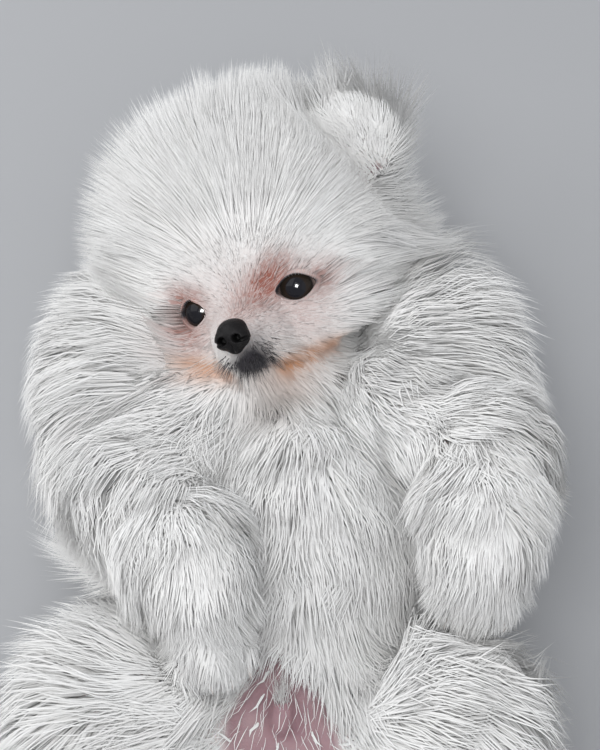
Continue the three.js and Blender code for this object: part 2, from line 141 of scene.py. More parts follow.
def ball(centre, radii, axes=worldAxes):
    centre = np.array(centre, float)
    radii = np.array(radii, float)

    def distance(p):
        t = (p - centre) @ axes.T / radii
        near = np.linalg.norm(t, axis=1)
        return near * (near - 1) / np.maximum(np.linalg.norm(t / radii, axis=1), 1e-9)

    return distance, [(centre, radii, axes)]


def rod(a, b, radiusA, radiusB):
    a = np.array(a, float)
    along = np.array(b, float) - a

    def distance(p):
        t = np.clip((p - a) @ along / (along @ along), 0, 1)
        return np.linalg.norm(p - a - t[:, None] * along, axis=1) - mix(radiusA, radiusB, t)

    steps = np.linspace(0, 1, 9)
    spheres = [(a + along * t, np.full(3, mix(radiusA, radiusB, t)), worldAxes) for t in steps]
    return distance, spheres


def smoothUnion(distances, rounding):
    d = distances[0]
    for e in distances[1:]:
        h = np.clip(0.5 + 0.5 * (e - d) / rounding, 0, 1)
        d = mix(e, d, h) - rounding * h * (1 - h)
    return d


def joined(forms, rounding, p):
    return smoothUnion([distance(p) for distance, spheres in forms], rounding)


def spheresOf(forms):
    return [sphere for distance, spheres in forms for sphere in spheres]


# The body's cores, as in the solids: a rounding and the forms that it joins
cores = {
    "head": (6.5, [
        ball(onHead(-4, 5, 0), (27, 29, 29), headAxes),
        ball(onHead(21, -14, 0), (15, 10.5, 12), headAxes),
        ball(onHead(18, -21, 0), (12, 7, 9), headAxes),
        ball(onHead(6, -12, 17), (13, 14, 12), headAxes),
        ball(onHead(6, -12, -17), (13, 14, 12), headAxes),
        ball(onHead(-8, 15, 0), (31, 36, 37), headAxes),
    ]),
    "neck": (14, [ball((-6, 0, 31), (36, 30, 31)), ball((-10, 36, 18), (36, 36, 19))]),
    "ruff_left": (1, [ball((42, 6, 34), (20, 34, 30))]),
    "ruff_right": (1, [ball((-54, 0, 31), (19, 36, 28))]),
    "chest": (1, [ball((0, -44, 38), (37, 40, 39))]),
    "belly": (8, [ball((-3, -98, 32), (35, 34, 33)), ball((-2, -130, 30), (34, 24, 31))]),
}
joints = {
    "shoulder": {"left": (30, -10, 52), "right": (-30, -14, 52)},
    "elbow": {"left": (56.4, -27.5, 70.6), "right": (-49, -40, 70)},
    "wrist": {"left": (54, -55, 86), "right": (-32, -64, 85)},
    "fingers": {"left": (53, -72, 77), "right": (-26, -88, 79)},
    "hip": {"left": (18, -122, 38), "right": (-22, -122, 38)},
    "knee": {"left": (46, -104, 62), "right": (-55, -103, 62)},
    "hock": {"left": (60, -146, 60), "right": (-68, -144, 60)},
    "toes": {"left": (57, -172, 76), "right": (-64, -171, 76)},
}
legs = {
    "foreleg": ("shoulder", "elbow", "wrist", 17, 15, 12),
    "hindleg": ("hip", "knee", "hock", 24, 17, 10),
}
feet = {"forepaw": ("wrist", "fingers", 11.5, 10, 5.2), "hindfoot": ("hock", "toes", 9.2, 8, 4.6)}
toes = []  # place, direction, foot and radius of each toe
footFrames = {}
legPaths = {}
for side in ("left", "right"):
    for name, (top, bend, end, thickTop, thickBend, thickEnd) in legs.items():
        a, b, c = (vec(*joints[joint][side]) for joint in (top, bend, end))
        cores[name + "_" + side] = (3, [rod(a, b, thickTop, thickBend), rod(b, c, thickBend, thickEnd)])
        legPaths[name + "_" + side] = [a, b, c]
    for name, (start, end, thickStart, thickEnd, toe) in feet.items():
        a, b = (vec(*joints[joint][side]) for joint in (start, end))
        along = unit(b - a)
        across = unit(np.cross(along, vec(0, 0, 1)))
        under = np.cross(across, along)
        under *= -np.sign(under[2])
        footFrames[name + "_" + side] = (b, along, across, under)
        forms = [rod(a, b, thickStart, thickEnd)]
        for place in (-1.5, -0.5, 0.5, 1.5):
            centre = b + along * (6.5 - abs(place) * 1.6) + across * place * toe * 1.15
            forms.append(ball(centre, (toe, toe, toe)))
            toes.append((centre, along, name + "_" + side, toe))
        cores[name + "_" + side] = (1.6, forms)
        legPaths[name + "_" + side] = [a, b]
tailPath = [vec(-2, -146, 22), vec(-6, -176, 14), vec(-15, -210, 11)]
cores["tail"] = (3, [rod(tailPath[0], tailPath[1], 14, 13), rod(tailPath[1], tailPath[2], 13, 8)])
legPaths["tail"] = tailPath


def coreDistance(name, p):
    rounding, forms = cores[name]
    return joined(forms, rounding, p)


def bodyDistance(p):
    return smoothUnion([coreDistance(name, p) for name in cores], skin["bodyRounding"])


# Ears: a rounded flap each, hollowed in front further down
ear = {"cup": (8.5, 8.5), "cupDepth": 1.6, "rounding": 5}
earCentres = {"left": onHead(-5, 34, 44), "right": onHead(-14, 30, -38)}


def earForms(side):
    sign = 1 if side == "left" else -1
    centre = earCentres[side]
    base = centre - headForward * 3 - headUp * 11 - headLeft * sign * 9
    tip = centre + headUp * 7 - headLeft * sign * 2
    return [
        ball(centre, (4, 11, 12), headAxes),
        ball(tip, (3.2, 8, 7), headAxes),
        ball(base, (6, 9, 9), headAxes),
    ]


earFlaps = {side: earForms(side) for side in ("left", "right")}

# Skin: it lies inside the coat's cores, and close to the surface on the face
skin = {
    "insetFace": 0.7,
    "insetBody": 2.6,
    "faceEnds": (22, 40),
    "lid": 1.15,
    "rounding": 2.5,
    "bodyRounding": 10,
    "voxel": 1.5,
    "sheath": vec(-5.5, -106, 62),
}
sheathForm = ball(skin["sheath"], (3.6, 7, 4.2))


def skinDistance(p):
    awayFromFace = np.linalg.norm(p - onHead(16, -8, 0), axis=1)
    inset = mix(skin["insetFace"], skin["insetBody"], smooth(*skin["faceEnds"], awayFromFace))
    parts = [bodyDistance(p) + inset]
    for side in ("left", "right"):
        parts.append(joined(earFlaps[side], ear["rounding"], p))
        parts.append(np.linalg.norm(p - eyes[side], axis=1) - face["eyeRadius"] - skin["lid"])
    parts.append(sheathForm[0](p))
    return smoothUnion(parts, skin["rounding"])


def slope(distance, p, here, step=0.3):
    return np.stack([distance(p + axis * step) - here for axis in worldAxes], axis=1) / step


def settle(distance, p, rounds):
    for _ in range(rounds):
        here = distance(p)
        g = slope(distance, p, here)
        p = p - g * (here / np.maximum((g * g).sum(1), 0.3))[:, None]
    return p


# The skin's distance and slope on a lattice, for the many points of skin and coat
lattice = {"low": vec(-130, -260, -10), "high": vec(130, 120, 150), "step": 3}


class SkinLattice:
    def __init__(self):
        counts = ((lattice["high"] - lattice["low"]) / lattice["step"]).astype(int) + 1
        axes = [lattice["low"][i] + lattice["step"] * np.arange(counts[i]) for i in range(3)]
        points = np.stack(np.meshgrid(*axes, indexing="ij"), axis=-1).reshape(-1, 3)
        values = np.concatenate([skinDistance(part) for part in np.array_split(points, 24)])
        self.values = values.reshape(counts)
        self.slopes = np.stack(np.gradient(self.values, lattice["step"]), axis=-1)

    def sample(self, table, points):
        q = (points - lattice["low"]) / lattice["step"]
        q = np.clip(q, 0, np.array(self.values.shape) - 1.001)
        cell = q.astype(int)
        t = q - cell
        total = 0
        for corner in np.ndindex(2, 2, 2):
            weight = np.prod(np.where(np.array(corner) == 1, t, 1 - t), axis=1)
            found = table[cell[:, 0] + corner[0], cell[:, 1] + corner[1], cell[:, 2] + corner[2]]
            total = total + (found.T * weight).T
        return total

    def distance(self, points):
        return self.sample(self.values, points)

    def normal(self, points):
        return unit(self.sample(self.slopes, points))

    def settle(self, points, rounds):
        for _ in range(rounds):
            points = points - self.normal(points) * self.distance(points)[:, None]
        return points


body = SkinLattice()
print("lattice")


def newObject(name, mesh):
    piece = bpy.data.objects.new(name, mesh)
    bpy.context.scene.collection.objects.link(piece)
    return piece


def roundedMesh(name, spheres, voxel):
    shape = bmesh.new()
    for centre, radii, axes in spheres:
        place = Matrix([list(axes[:, i] * 0) + [0] for i in range(3)] + [[0, 0, 0, 1]])
        for row in range(3):
            for column in range(3):
                place[row][column] = axes[column][row] * radii[column]
            place[row][3] = centre[row]
        bmesh.ops.create_icosphere(shape, subdivisions=4, radius=1, matrix=place)
    mesh = bpy.data.meshes.new(name)
    shape.to_mesh(mesh)
    shape.free()
    piece = newObject(name, mesh)
    remesh = piece.modifiers.new("Remesh", "REMESH")
    remesh.mode = "VOXEL"
    remesh.voxel_size = voxel
    depsgraph = bpy.context.evaluated_depsgraph_get()
    done = bpy.data.meshes.new_from_object(piece.evaluated_get(depsgraph))
    piece.modifiers.clear()
    piece.data = done
    bpy.data.meshes.remove(mesh)
    return piece


def pointsOf(mesh):
    flat = np.empty(len(mesh.vertices) * 3, np.float32)
    mesh.vertices.foreach_get("co", flat)
    return flat.reshape(-1, 3).astype(float)


def setPoints(mesh, points):
    mesh.vertices.foreach_set("co", points.astype(np.float32).ravel())
    mesh.update()


def refine(mesh, near, rounds):
    for _ in range(rounds):
        shape = bmesh.new()
        shape.from_mesh(mesh)
        shape.faces.ensure_lookup_table()
        centres = np.array([f.calc_center_median() for f in shape.faces])
        chosen = np.nonzero(near(centres))[0]
        edges = {edge for i in chosen for edge in shape.faces[i].edges}
        bmesh.ops.subdivide_edges(shape, edges=list(edges), cuts=1, use_grid_fill=True)
        shape.to_mesh(mesh)
        shape.free()


def setAttribute(mesh, name, values):
    attribute = mesh.attributes.new(name, "FLOAT", "POINT")
    attribute.data.foreach_set("value", np.asarray(values, np.float32))


def shadeSmooth(mesh):
    mesh.polygons.foreach_set("use_smooth", np.ones(len(mesh.polygons), bool))


# Mouth: a line round the muzzle at one height, and the places that its darkness and stain follow
mouth = {
    "drop": -0.36,
    "spread": 78,
    "rise": -0.36,
    "count": 60,
    "lip": (0.45, 1.7, 0.9),
    "groove": (1.1, 0.6),
}


def reachSurface(distance, start, directions, far=60):
    lowest = np.zeros(len(directions))
    highest = np.full(len(directions), float(far))
    for _ in range(24):
        middle = (lowest + highest) / 2
        inside = distance(start + directions * middle[:, None]) < 0
        lowest = np.where(inside, middle, lowest)
        highest = np.where(inside, highest, middle)
    return start + directions * lowest[:, None]


def mouthLine():
    turns = np.radians(np.linspace(-mouth["spread"], mouth["spread"], mouth["count"]))[:, None]
    height = mouth["drop"] + mouth["rise"] * np.abs(turns)
    directions = unit(headForward * np.cos(turns) + headLeft * np.sin(turns) + headUp * height)
    return reachSurface(skinDistance, onHead(10, -17, 0), directions)


mouthPoints = mouthLine()


def nearestOf(points, line):
    best = np.full(len(points), 1e9)
    which = np.zeros(len(points), int)
    for i, point in enumerate(line):
        d = np.linalg.norm(points - point, axis=1)
        which = np.where(d < best, i, which)
        best = np.minimum(best, d)
    return best, which


# Eye openings: almonds seen along each gaze, where an amount below 1 is inside
lids = {
    "left": (6.1, 3.9),
    "right": (5.2, 4.2),
    "pocket": 5,
    "rim": 0.08,
    "clear": 1.12,
    "raised": 0.2,
    "pinch": 0.35,
}


def eyeFrame(side):
    gaze = gazes[side]
    across = unit(np.cross(headUp, gaze))
    return gaze, across, np.cross(gaze, across)


def onEye(p, side):
    gaze, across, upward = eyeFrame(side)
    q = p - eyes[side]
    x, y = q @ across, q @ upward - lids["raised"]
    pinch = 1 - lids["pinch"] * np.clip(np.abs(x / lids[side][0]), 0, 1) ** 2
    amount = np.sqrt((x / lids[side][0]) ** 2 + (y / lids[side][1] / pinch) ** 2)
    return x, y, q @ gaze > 0, amount


def almond(p, side):
    x, y, inFront, amount = onEye(p, side)
    return np.where(inFront, amount, 9)


def fadeOut(edge, soft, x):
    return 1 - smooth(edge - soft, edge + soft, x)


print("skin")
roughForms = [form for rounding, forms in cores.values() for form in forms]
roughForms += [form for side in earFlaps for form in earFlaps[side]]
skinPiece = roundedMesh("skin", spheresOf(roughForms), skin["voxel"])
skinPoints = body.settle(pointsOf(skinPiece.data), 4)
setPoints(skinPiece.data, skinPoints)


fine = {"eye": 10.5, "mouth": 4, "nose": 9, "ear": 17}


def within(points, centre, reach):
    return np.linalg.norm(points - centre, axis=1) < reach


def fineFace(centres):
    close = np.zeros(len(centres), bool)
    for side in ("left", "right"):
        close |= within(centres, eyes[side] + gazes[side] * 5, fine["eye"])
    distance, _ = nearestOf(centres, mouthPoints[::4])
    return close | (distance < fine["mouth"]) | within(centres, noseCentre, fine["nose"])


def fineEar(centres):
    return within(centres, earCentres["left"], fine["ear"])


refine(skinPiece.data, lambda c: fineFace(c) | fineEar(c), 1)
refine(skinPiece.data, fineFace, 1)
skinPoints = pointsOf(skinPiece.data)
onFace = within(skinPoints, onHead(14, -6, 0), 42)
skinPoints[onFace] = settle(skinDistance, skinPoints[onFace], 2)
skinNormals = body.normal(skinPoints)
mouthNear, _ = nearestOf(skinPoints, mouthPoints)
(lipRaise, lipAway, lipWidth), (grooveDepth, grooveWidth) = mouth["lip"], mouth["groove"]
relief = lipRaise * bump(mouthNear - lipAway, lipWidth) - grooveDepth * bump(mouthNear, grooveWidth)
skinPoints += skinNormals * relief[:, None]
lidEdge = np.full(len(skinPoints), 9.0)
for side in ("left", "right"):
    amount = almond(skinPoints, side)
    lidEdge = np.minimum(lidEdge, amount)
    skinPoints -= gazes[side] * (lids["pocket"] * fadeOut(1, 0.1, amount))[:, None]
    q = skinPoints - earCentres[side]
    cup = np.hypot(q @ headUp / ear["cup"][0], q @ headLeft / ear["cup"][1])
    inFront = (q @ headForward > 0) & (np.linalg.norm(q, axis=1) < 20)
    skinPoints -= headForward * (ear["cupDepth"] * fadeOut(0.8, 0.35, cup) * inFront)[:, None]
setPoints(skinPiece.data, skinPoints)
print("skin points", len(skinPoints))

# Markings, the same for skin and coat
marks = {
    "stain": [  # height and side on the head, reach, amount
        (-3, 0, 18, 0.2),
        (-4, 17, 10, 0.3),
        (-4, -17, 9, 0.35),
        (-0.5, 9.6, 4.4, 1.25),
        (3.8, 15, 5, 0.85),
        (-3, 26, 5, 0.7),
        (-4, 3, 7, 0.5),
        (-15, 20, 9, 0.3),
        (1.5, -22, 5, 0.85),
        (-6, -24, 5, 0.8),
        (1.5, -15, 3.5, 0.5),
        (-12, -22, 7, 0.55),
    ],
    "dark": [  # place on the head, reach, amount
        (30, -22, 2, 5, 0.7),
        (31, -18.5, 2.5, 4.5, 0.8),
        (31, -14.5, 6, 4.5, 0.42),
        (31, -23, -2, 3, 0.6),
        (30, -23.5, 3, 2.8, 0.6),
        (29, -23.2, 7, 2.4, 0.5),
    ],
    "stainGain": 1.25,
    "under": (-31, 7, 9, 0.4),
    "lip": {  # its height at the start and its rise on each side
        "start": 7,
        "end": (22, 31),
        "reach": 2.6,
        "left": (-27.5, 0.16),
        "right": (-26.5, 0.45),
        "amount": 0.85,
    },
}


def spot(f, u, l, ahead, height, aside, reach, amount):
    return amount * np.exp(-((f - ahead) ** 2 + (u - height) ** 2 + (l - aside) ** 2) / reach**2)


def mouthFront(p):
    lipNear, lipWhere = nearestOf(p, mouthPoints)
    along = np.abs(lipWhere / (mouth["count"] - 1) * 2 - 1)
    return lipNear, 1 - smooth(0.3, 0.5, along)


def markings(p):
    f, u, l = inHead(p)
    stain = np.zeros(len(p))
    for mark in marks["stain"]:
        stain += spot(0, u, l, 0, *mark)
    stain = 1 - np.exp(-marks["stainGain"] * stain)
    band = marks["lip"]
    beyond = np.abs(l) - band["start"]
    (lowLeft, riseLeft), (lowRight, riseRight) = band["left"], band["right"]
    line = np.where(l > 0, lowLeft + riseLeft * beyond, lowRight + riseRight * beyond)
    ends = smooth(-3, 2, beyond) * (1 - smooth(*band["end"], np.abs(l)))
    lip = band["amount"] * bump(u - line, band["reach"]) * ends + spot(0, u, l, 0, *marks["under"])
    lipNear, atFront = mouthFront(p)
    dark = 0.8 * bump(lipNear, 1.3) * atFront
    for mark in marks["dark"]:
        dark += spot(f, u, l, *mark)
    onFace, nearFront, onMuzzleTip = smooth(2, 12, f), smooth(-2, 8, f), smooth(17, 23, f)
    return np.clip(stain * onFace, 0, 1), np.clip(lip, 0, 1) * nearFront, np.clip(dark, 0, 1) * onMuzzleTip


# The belly is bare in a wedge that widens towards the groin
bare = {"start": -76, "slope": 0.56, "middle": -5.5, "most": 18}


def bareness(p, margin=0):
    halfWidth = np.clip((bare["start"] + margin - p[:, 1]) * bare["slope"], 0, bare["most"] + margin)
    halfWidth *= 1 - smooth(-128, -140, p[:, 1])
    inside = halfWidth - np.abs(p[:, 0] - bare["middle"])
    return smooth(-2, 3, inside) * (p[:, 2] > 48)


stain, lip, dark = markings(skinPoints)
nearSide = np.where(inHead(skinPoints)[2] > 0, "left", "right")
belowEye = np.zeros(len(skinPoints))
for side in ("left", "right"):
    below = smooth(0.5, -1.5, (skinPoints - eyes[side]) @ eyeFrame(side)[2])
    belowEye = np.where(nearSide == side, below, belowEye)
lidRim = smooth(0.9, 1.0, lidEdge) * fadeOut(1.0 + lids["rim"] * 2, lids["rim"], lidEdge)
lidDark = (1 - 0.75 * belowEye) * lidRim
# A narrow band along the crease under each folded ear flap is painted as bare pink skin: partly the inner
# ear's real pink, partly painted shade of the crease
earPinkAndShade = np.zeros(len(skinPoints))
for side in ("left", "right"):
    q = skinPoints - earCentres[side]
    crease = np.hypot((q @ headUp + 8.5) / 1.8, q @ headLeft / 6)
    earPinkAndShade = np.maximum(earPinkAndShade, fadeOut(0.9, 0.3, crease))
skinValues = {
    "shade": np.full(len(skinPoints), 0.5),
    "stain": stain,
    "lip": lip,
    "dark": np.clip(dark + lidDark, 0, 1),
    "bare": np.clip(bareness(skinPoints) + earPinkAndShade, 0, 1),
}
for name, value in skinValues.items():
    setAttribute(skinPiece.data, name, value)
skinPiece.data.transform(Matrix.Scale(0.001, 4) @ Matrix.Translation(Vector(shift)))
shadeSmooth(skinPiece.data)

# Skin unwrap, which the coat's patches take their places from
bpy.context.view_layer.objects.active = skinPiece
skinPiece.select_set(True)
bpy.ops.object.mode_set(mode="EDIT")
bpy.ops.mesh.select_all(action="SELECT")
bpy.ops.uv.smart_project(angle_limit=math.radians(66), island_margin=0.001)
bpy.ops.object.mode_set(mode="OBJECT")
skinPiece.data.uv_layers[0].name = "OFBake"
skinPiece.select_set(False)
print("unwrapped")

# Coat by region: length, width, rise at root and at tip in degrees, closeness, wave and gather
coat = {
    "head": (30, 0.46, 66, 46, 3.2, 0.4, 0.1),
    "ruff": (44, 0.48, 52, 16, 2.1, 1.3, 0.35),
    "neck": (34, 0.48, 46, 12, 1.5, 1.3, 0.35),
    "chest": (31, 0.48, 36, 8, 1.5, 1.3, 0.35),
    "belly": (28, 0.48, 34, 6, 1.2, 1.3, 0.35),
    "foreleg": (27, 0.46, 46, 14, 2.1, 1.0, 0.3),
    "forepaw": (13, 0.46, 44, 20, 3, 0.4, 0.2),
    "hindleg": (35, 0.5, 44, 12, 1.4, 1.3, 0.35),
    "hindfoot": (8, 0.44, 34, 14, 2, 0.2, 0.25),
    "tail": (38, 0.62, 40, 12, 0.9, 2.0, 0.5),
    "ear": (9, 0.4, 50, 30, 3.6, 0.6, 0.15),
}
lengthAt, widthAt, rootAt, tipAt, closeAt, waveAt, gatherAt = range(7)
coatCounts = {"outer": 143000, "under": 16000, "backShare": 0.3, "quickShare": 0.35}
coatNames = list(cores) + ["ear_left", "ear_right"]
kindOf = lambda name: name.replace("_left", "").replace("_right", "")
signOf = lambda name: 1 if name.endswith("_left") else -1


def alongPath(p, path):
    best = np.full(len(p), 1e9)
    found = np.zeros_like(p)
    for a, b in zip(path[:-1], path[1:]):
        t = np.clip((p - a) @ (b - a) / ((b - a) @ (b - a)), 0, 1)
        d = np.linalg.norm(p - a - t[:, None] * (b - a), axis=1)
        found[d < best] = unit(b - a)
        best = np.minimum(best, d)
    return found


def outward(p, middle):
    return np.clip((p[:, 0] - middle) / 30, -1, 1)


def columns(*parts):
    return np.stack(np.broadcast_arrays(*parts), axis=1).astype(float)


# The right flank's hair is long and fills in between foreleg and thigh
def flankShare(p):
    return smooth(-8, -28, p[:, 0]) * bump(p[:, 1] + 68, 26)


def lieOf(name, p):
    kind, sign = kindOf(name), signOf(name)
    if kind == "head":
        return unit(p - onHead(30, -10, 0)) + headUp * 0.1
    if kind == "ear":
        return unit(p - earCentres["left" if sign > 0 else "right"]) * 0.35 + headUp
    if kind == "ruff":
        return columns(sign * 0.9, -0.55 + (p[:, 1] - 5) / 60, -0.25)
    if kind == "neck":
        return columns(outward(p, -6) * 0.6, -0.9, 0)
    if kind in ("chest", "belly"):
        aside = outward(p, -2) * (0.55 if kind == "chest" else 0.9)
        return columns(aside - 1.2 * flankShare(p), -1 + 0.8 * flankShare(p), 0)
    lean = {"foreleg": (0.3, -0.3, -0.45), "hindleg": (0.9, -0.7, -0.4)}.get(kind, (0, 0, -0.2))
    return alongPath(p, legPaths[name]) + vec(sign * lean[0], lean[1], lean[2]) * (kind != "tail")


def regionWeights(p):
    reach = [coreDistance(name, p) for name in cores]
    reach += [joined(earFlaps[side], ear["rounding"], p) + 0.5 for side in ("left", "right")]
    reach = np.stack(reach, axis=1)
    weights = np.exp(-(reach - reach.min(1, keepdims=True)) / 3.5)
    return weights / weights.sum(1, keepdims=True)


# The face: hair grows from very short round the nose to long on the crown and cheeks
faceCoat = {
    "muzzle": 2.2,
    "eyes": 5.5,
    "crown": 32,
    "cheek": 40,
    "throat": 27,
    "left": (20, 32),
    "right": (16, 26),
}
shortCoat = {widthAt: 0.36, rootAt: 24, tipAt: 10, closeAt: 6.5, waveAt: 0.05, gatherAt: 0.25}
fluff = {  # what is added to the length and to the rise at root and at tip
    "besideFace": (0, 22, 30),
    "cheek": (0, 10, 12),
    "behindFlap": (19, 14, 14),
    "flank": (24, 16, 0),
    "knee": (0, 18, 34),
}


def faceLength(p):
    f, u, l = inHead(p)
    fromNose = np.linalg.norm(p - noseCentre, axis=1)
    shortest = mix(faceCoat["muzzle"], faceCoat["eyes"], smooth(6, 26, fromNose))
    lipNear, atFront = mouthFront(p)
    shortest *= 1 - 0.55 * atFront * bump(lipNear, 2)
    crown = smooth(3, 16, u)
    sideways = np.maximum(smooth(*faceCoat["left"], l), smooth(*faceCoat["right"], -l))
    cheek = 1 - (1 - sideways) * (1 - smooth(8, -8, f))
    throat = smooth(-24.5, -29, u)
    longShare = 1 - (1 - crown) * (1 - cheek) * (1 - throat)
    longest = mix(mix(faceCoat["cheek"], faceCoat["crown"], crown), faceCoat["throat"], throat)
    return mix(shortest, longest, longShare), longShare


def fluffUp(sizes, place, share):
    for column, extra in zip((lengthAt, rootAt, tipAt), fluff[place]):
        sizes[:, column] += extra * share


def coatSizes(p, weights):
    table = np.array([coat[kindOf(name)] for name in coatNames])
    sizes = weights @ table
    headShare = weights[:, coatNames.index("head")]
    length, longShare = faceLength(p)
    sizes[:, lengthAt] = mix(sizes[:, lengthAt], length, headShare)
    trunk = weights[:, coatNames.index("chest")] + weights[:, coatNames.index("belly")]
    sizes[:, lengthAt] *= 1 + 0.4 * trunk * smooth(0.5, 1, np.abs(outward(p, -3)))
    f, u, l = inHead(p)
    ruffShare = weights[:, coatNames.index("ruff_left")] + weights[:, coatNames.index("ruff_right")]
    besideFace = ruffShare * smooth(62, 46, np.linalg.norm(p - onHead(0, 0, 0), axis=1))
    sizes[:, lengthAt] *= 1 - 0.15 * besideFace
    fluffUp(sizes, "besideFace", besideFace)
    fluffUp(sizes, "cheek", headShare * longShare * smooth(12, 0, u))
    belowEar = np.exp(-((u - 19) ** 2 + (l - 42) ** 2) / 90) * smooth(-14, -4, f)
    behindEar = np.exp(-((u - 38) ** 2 + (l - 40) ** 2) / 300) * smooth(-4, -12, f)
    sizes[:, lengthAt] *= 1 - 0.6 * belowEar + 0.35 * behindEar * headShare
    for side in ("left", "right"):
        behind = smooth(0, -3, (p - earCentres[side]) @ headForward)
        fluffUp(sizes, "behindFlap", weights[:, coatNames.index("ear_" + side)] * behind)
    fluffUp(sizes, "flank", flankShare(p) * trunk)
    kneeSide = smooth(-120, -104, p[:, 1]) * smooth(-30, -50, p[:, 0])
    fluffUp(sizes, "knee", weights[:, coatNames.index("hindleg_right")] * kneeSide)
    sizes[:, lengthAt] *= mix(1, 0.45, bareness(p, 6))
    sizes[:, widthAt] *= mix(1, 0.45, bareness(p, 3))
    short = headShare * (1 - longShare)
    for column, value in shortCoat.items():
        sizes[:, column] = mix(sizes[:, column], value, short)
    return sizes


# Pads under the toes and the middle of each foot: place, its axes and its reach
padPlaces = []
for centre, along, foot, radius in toes:
    along, across, under = footFrames[foot][1:]
    padPlaces.append((centre + under * radius * 0.72 + along, along, across, under, radius * 0.62))
for foot, (end, along, across, under) in footFrames.items():
    thick = feet[kindOf(foot)][3]
    padPlaces.append((end - along * 2.5 + under * thick * 0.8, along, across, under, thick * 0.52))


hairless = {"pad": 0.85, "lid": 1.25, "nose": 5.6, "noseTips": 6, "bare": 0.94}


def gathered(items, key, width, kind):
    flat = np.empty(len(items) * width, kind)
    items.foreach_get(key, flat)
    return flat.reshape(-1, width)


# Roots are spread over the skin by area and by how close the coat stands
skinMesh = skinPiece.data
skinMesh.calc_loop_triangles()
triangleCount = len(skinMesh.loop_triangles)
corner = gathered(skinMesh.loop_triangles, "vertices", 3, np.int32)
loops = gathered(skinMesh.loop_triangles, "loops", 3, np.int32)
uvs = gathered(skinMesh.uv_layers["OFBake"].data, "uv", 2, np.float32)
uvOfPoint = np.empty((len(skinMesh.vertices), 2), np.float32)
uvOfPoint[corner.ravel()] = uvs[loops.ravel()]
triangles = skinPoints[corner]
firstEdge, secondEdge = triangles[:, 1] - triangles[:, 0], triangles[:, 2] - triangles[:, 0]
area = np.linalg.norm(np.cross(firstEdge, secondEdge), axis=1) / 2
centres = triangles.mean(1)
triangleWeights = regionWeights(centres)
sizes = coatSizes(centres, triangleWeights)
eyeAmount = np.minimum(almond(centres, "left"), almond(centres, "right"))
onPad = np.zeros(len(centres), bool)
for centre, along, across, under, reach in padPlaces:
    onPad |= within(centres, centre, reach * hairless["pad"])
noHair = onPad | (eyeAmount < hairless["lid"]) | within(centres, noseCentre, hairless["nose"])
thinBelow = mix(coatCounts["backShare"], 1, smooth(14, 44, centres[:, 2]))
thinOnBare = 1 - hairless["bare"] * bareness(centres)
wanted = area * sizes[:, closeAt] * thinOnBare * ~noHair * thinBelow
print("roots from", triangleCount, "triangles")

stations = np.array([0, 0.3, 0.68, 1])
shortStations = [0, 1, 3]
growth = {
    "sink": 1.2,
    "swing": 0.16,
    "clumpSwing": 0.24,
    "lift": 4,
    "droop": 0.35,
    "clumpArea": 45,
    "underFrom": 9,
    "lowest": 0.9,
    "ownLift": 0.6,
    "headCalm": 0.45,
    "clumpReach": (0.86, 1.08),
    "ownReach": (0.75, 1.06),
    "waveTurn": 5,
    "phase": 0.5,
}
ceiling = {"start": 98, "ease": 0.35, "sideStart": 88, "sideEase": 0.5}


def spin(v, axis, angle):
    cosine, sine = np.cos(angle)[:, None], np.sin(angle)[:, None]
    straight = axis * (v * axis).sum(1, keepdims=True) * (1 - cosine)
    return v * cosine + np.cross(axis, v) * sine + straight


def coatLie(p, weights):
    total = np.zeros_like(p)
    for i, name in enumerate(coatNames):
        total += weights[:, i : i + 1] * unit(lieOf(name, p))
    return unit(total)


def scatterRoots(total):
    chance = np.cumsum(wanted) / wanted.sum()
    picked = np.searchsorted(chance, (np.arange(total) + rng.random(total)) / total)
    picked = np.minimum(picked, triangleCount - 1)
    a, b = rng.random((2, total))
    over = a + b > 1
    a[over], b[over] = 1 - a[over], 1 - b[over]
    share = np.stack([1 - a - b, a, b], axis=1)[:, :, None]
    return (triangles[picked] * share).sum(1), (uvs[loops[picked]] * share).sum(1)


def growPaths(p, lie, length, riseRoot, riseTip):
    path = [p - body.normal(p) * growth["sink"]]
    p = p.copy()
    for i in range(len(stations) - 1):
        part = stations[i + 1] - stations[i]
        for _ in range(2):
            t = stations[i] + part / 2
            normal = body.normal(p)
            flat = unit(lie - normal * (lie * normal).sum(1, keepdims=True))
            angle = np.radians(mix(riseRoot, riseTip, t))[:, None]
            step = flat * np.cos(angle) + normal * np.sin(angle)
            step[:, 2] -= growth["droop"] * t
            p = p + unit(step) * (length * part / 2)[:, None]
            p[:, 2] = np.maximum(p[:, 2], 0.6 + 0.5 * t)
        path.append(p.copy())
    return np.stack(path, axis=1)


# Hair is bent round the eye openings and kept off the nose
def keepClear(points):
    for side in ("left", "right"):
        gaze, across, upward = eyeFrame(side)
        x, y, inFront, amount = onEye(points, side)
        inWay = inFront & (amount < lids["clear"])
        push = np.where(inWay, lids["clear"] / np.maximum(amount, 0.2) - 1, 0)
        points = points + across * (x * push)[..., None] + upward * (y * push)[..., None]
    q = points - noseCentre
    away = np.linalg.norm(q, axis=-1)
    pushed = noseCentre + q * (hairless["noseTips"] / np.maximum(away, 1))[..., None]
    return np.where((away < hairless["noseTips"])[..., None], pushed, points)


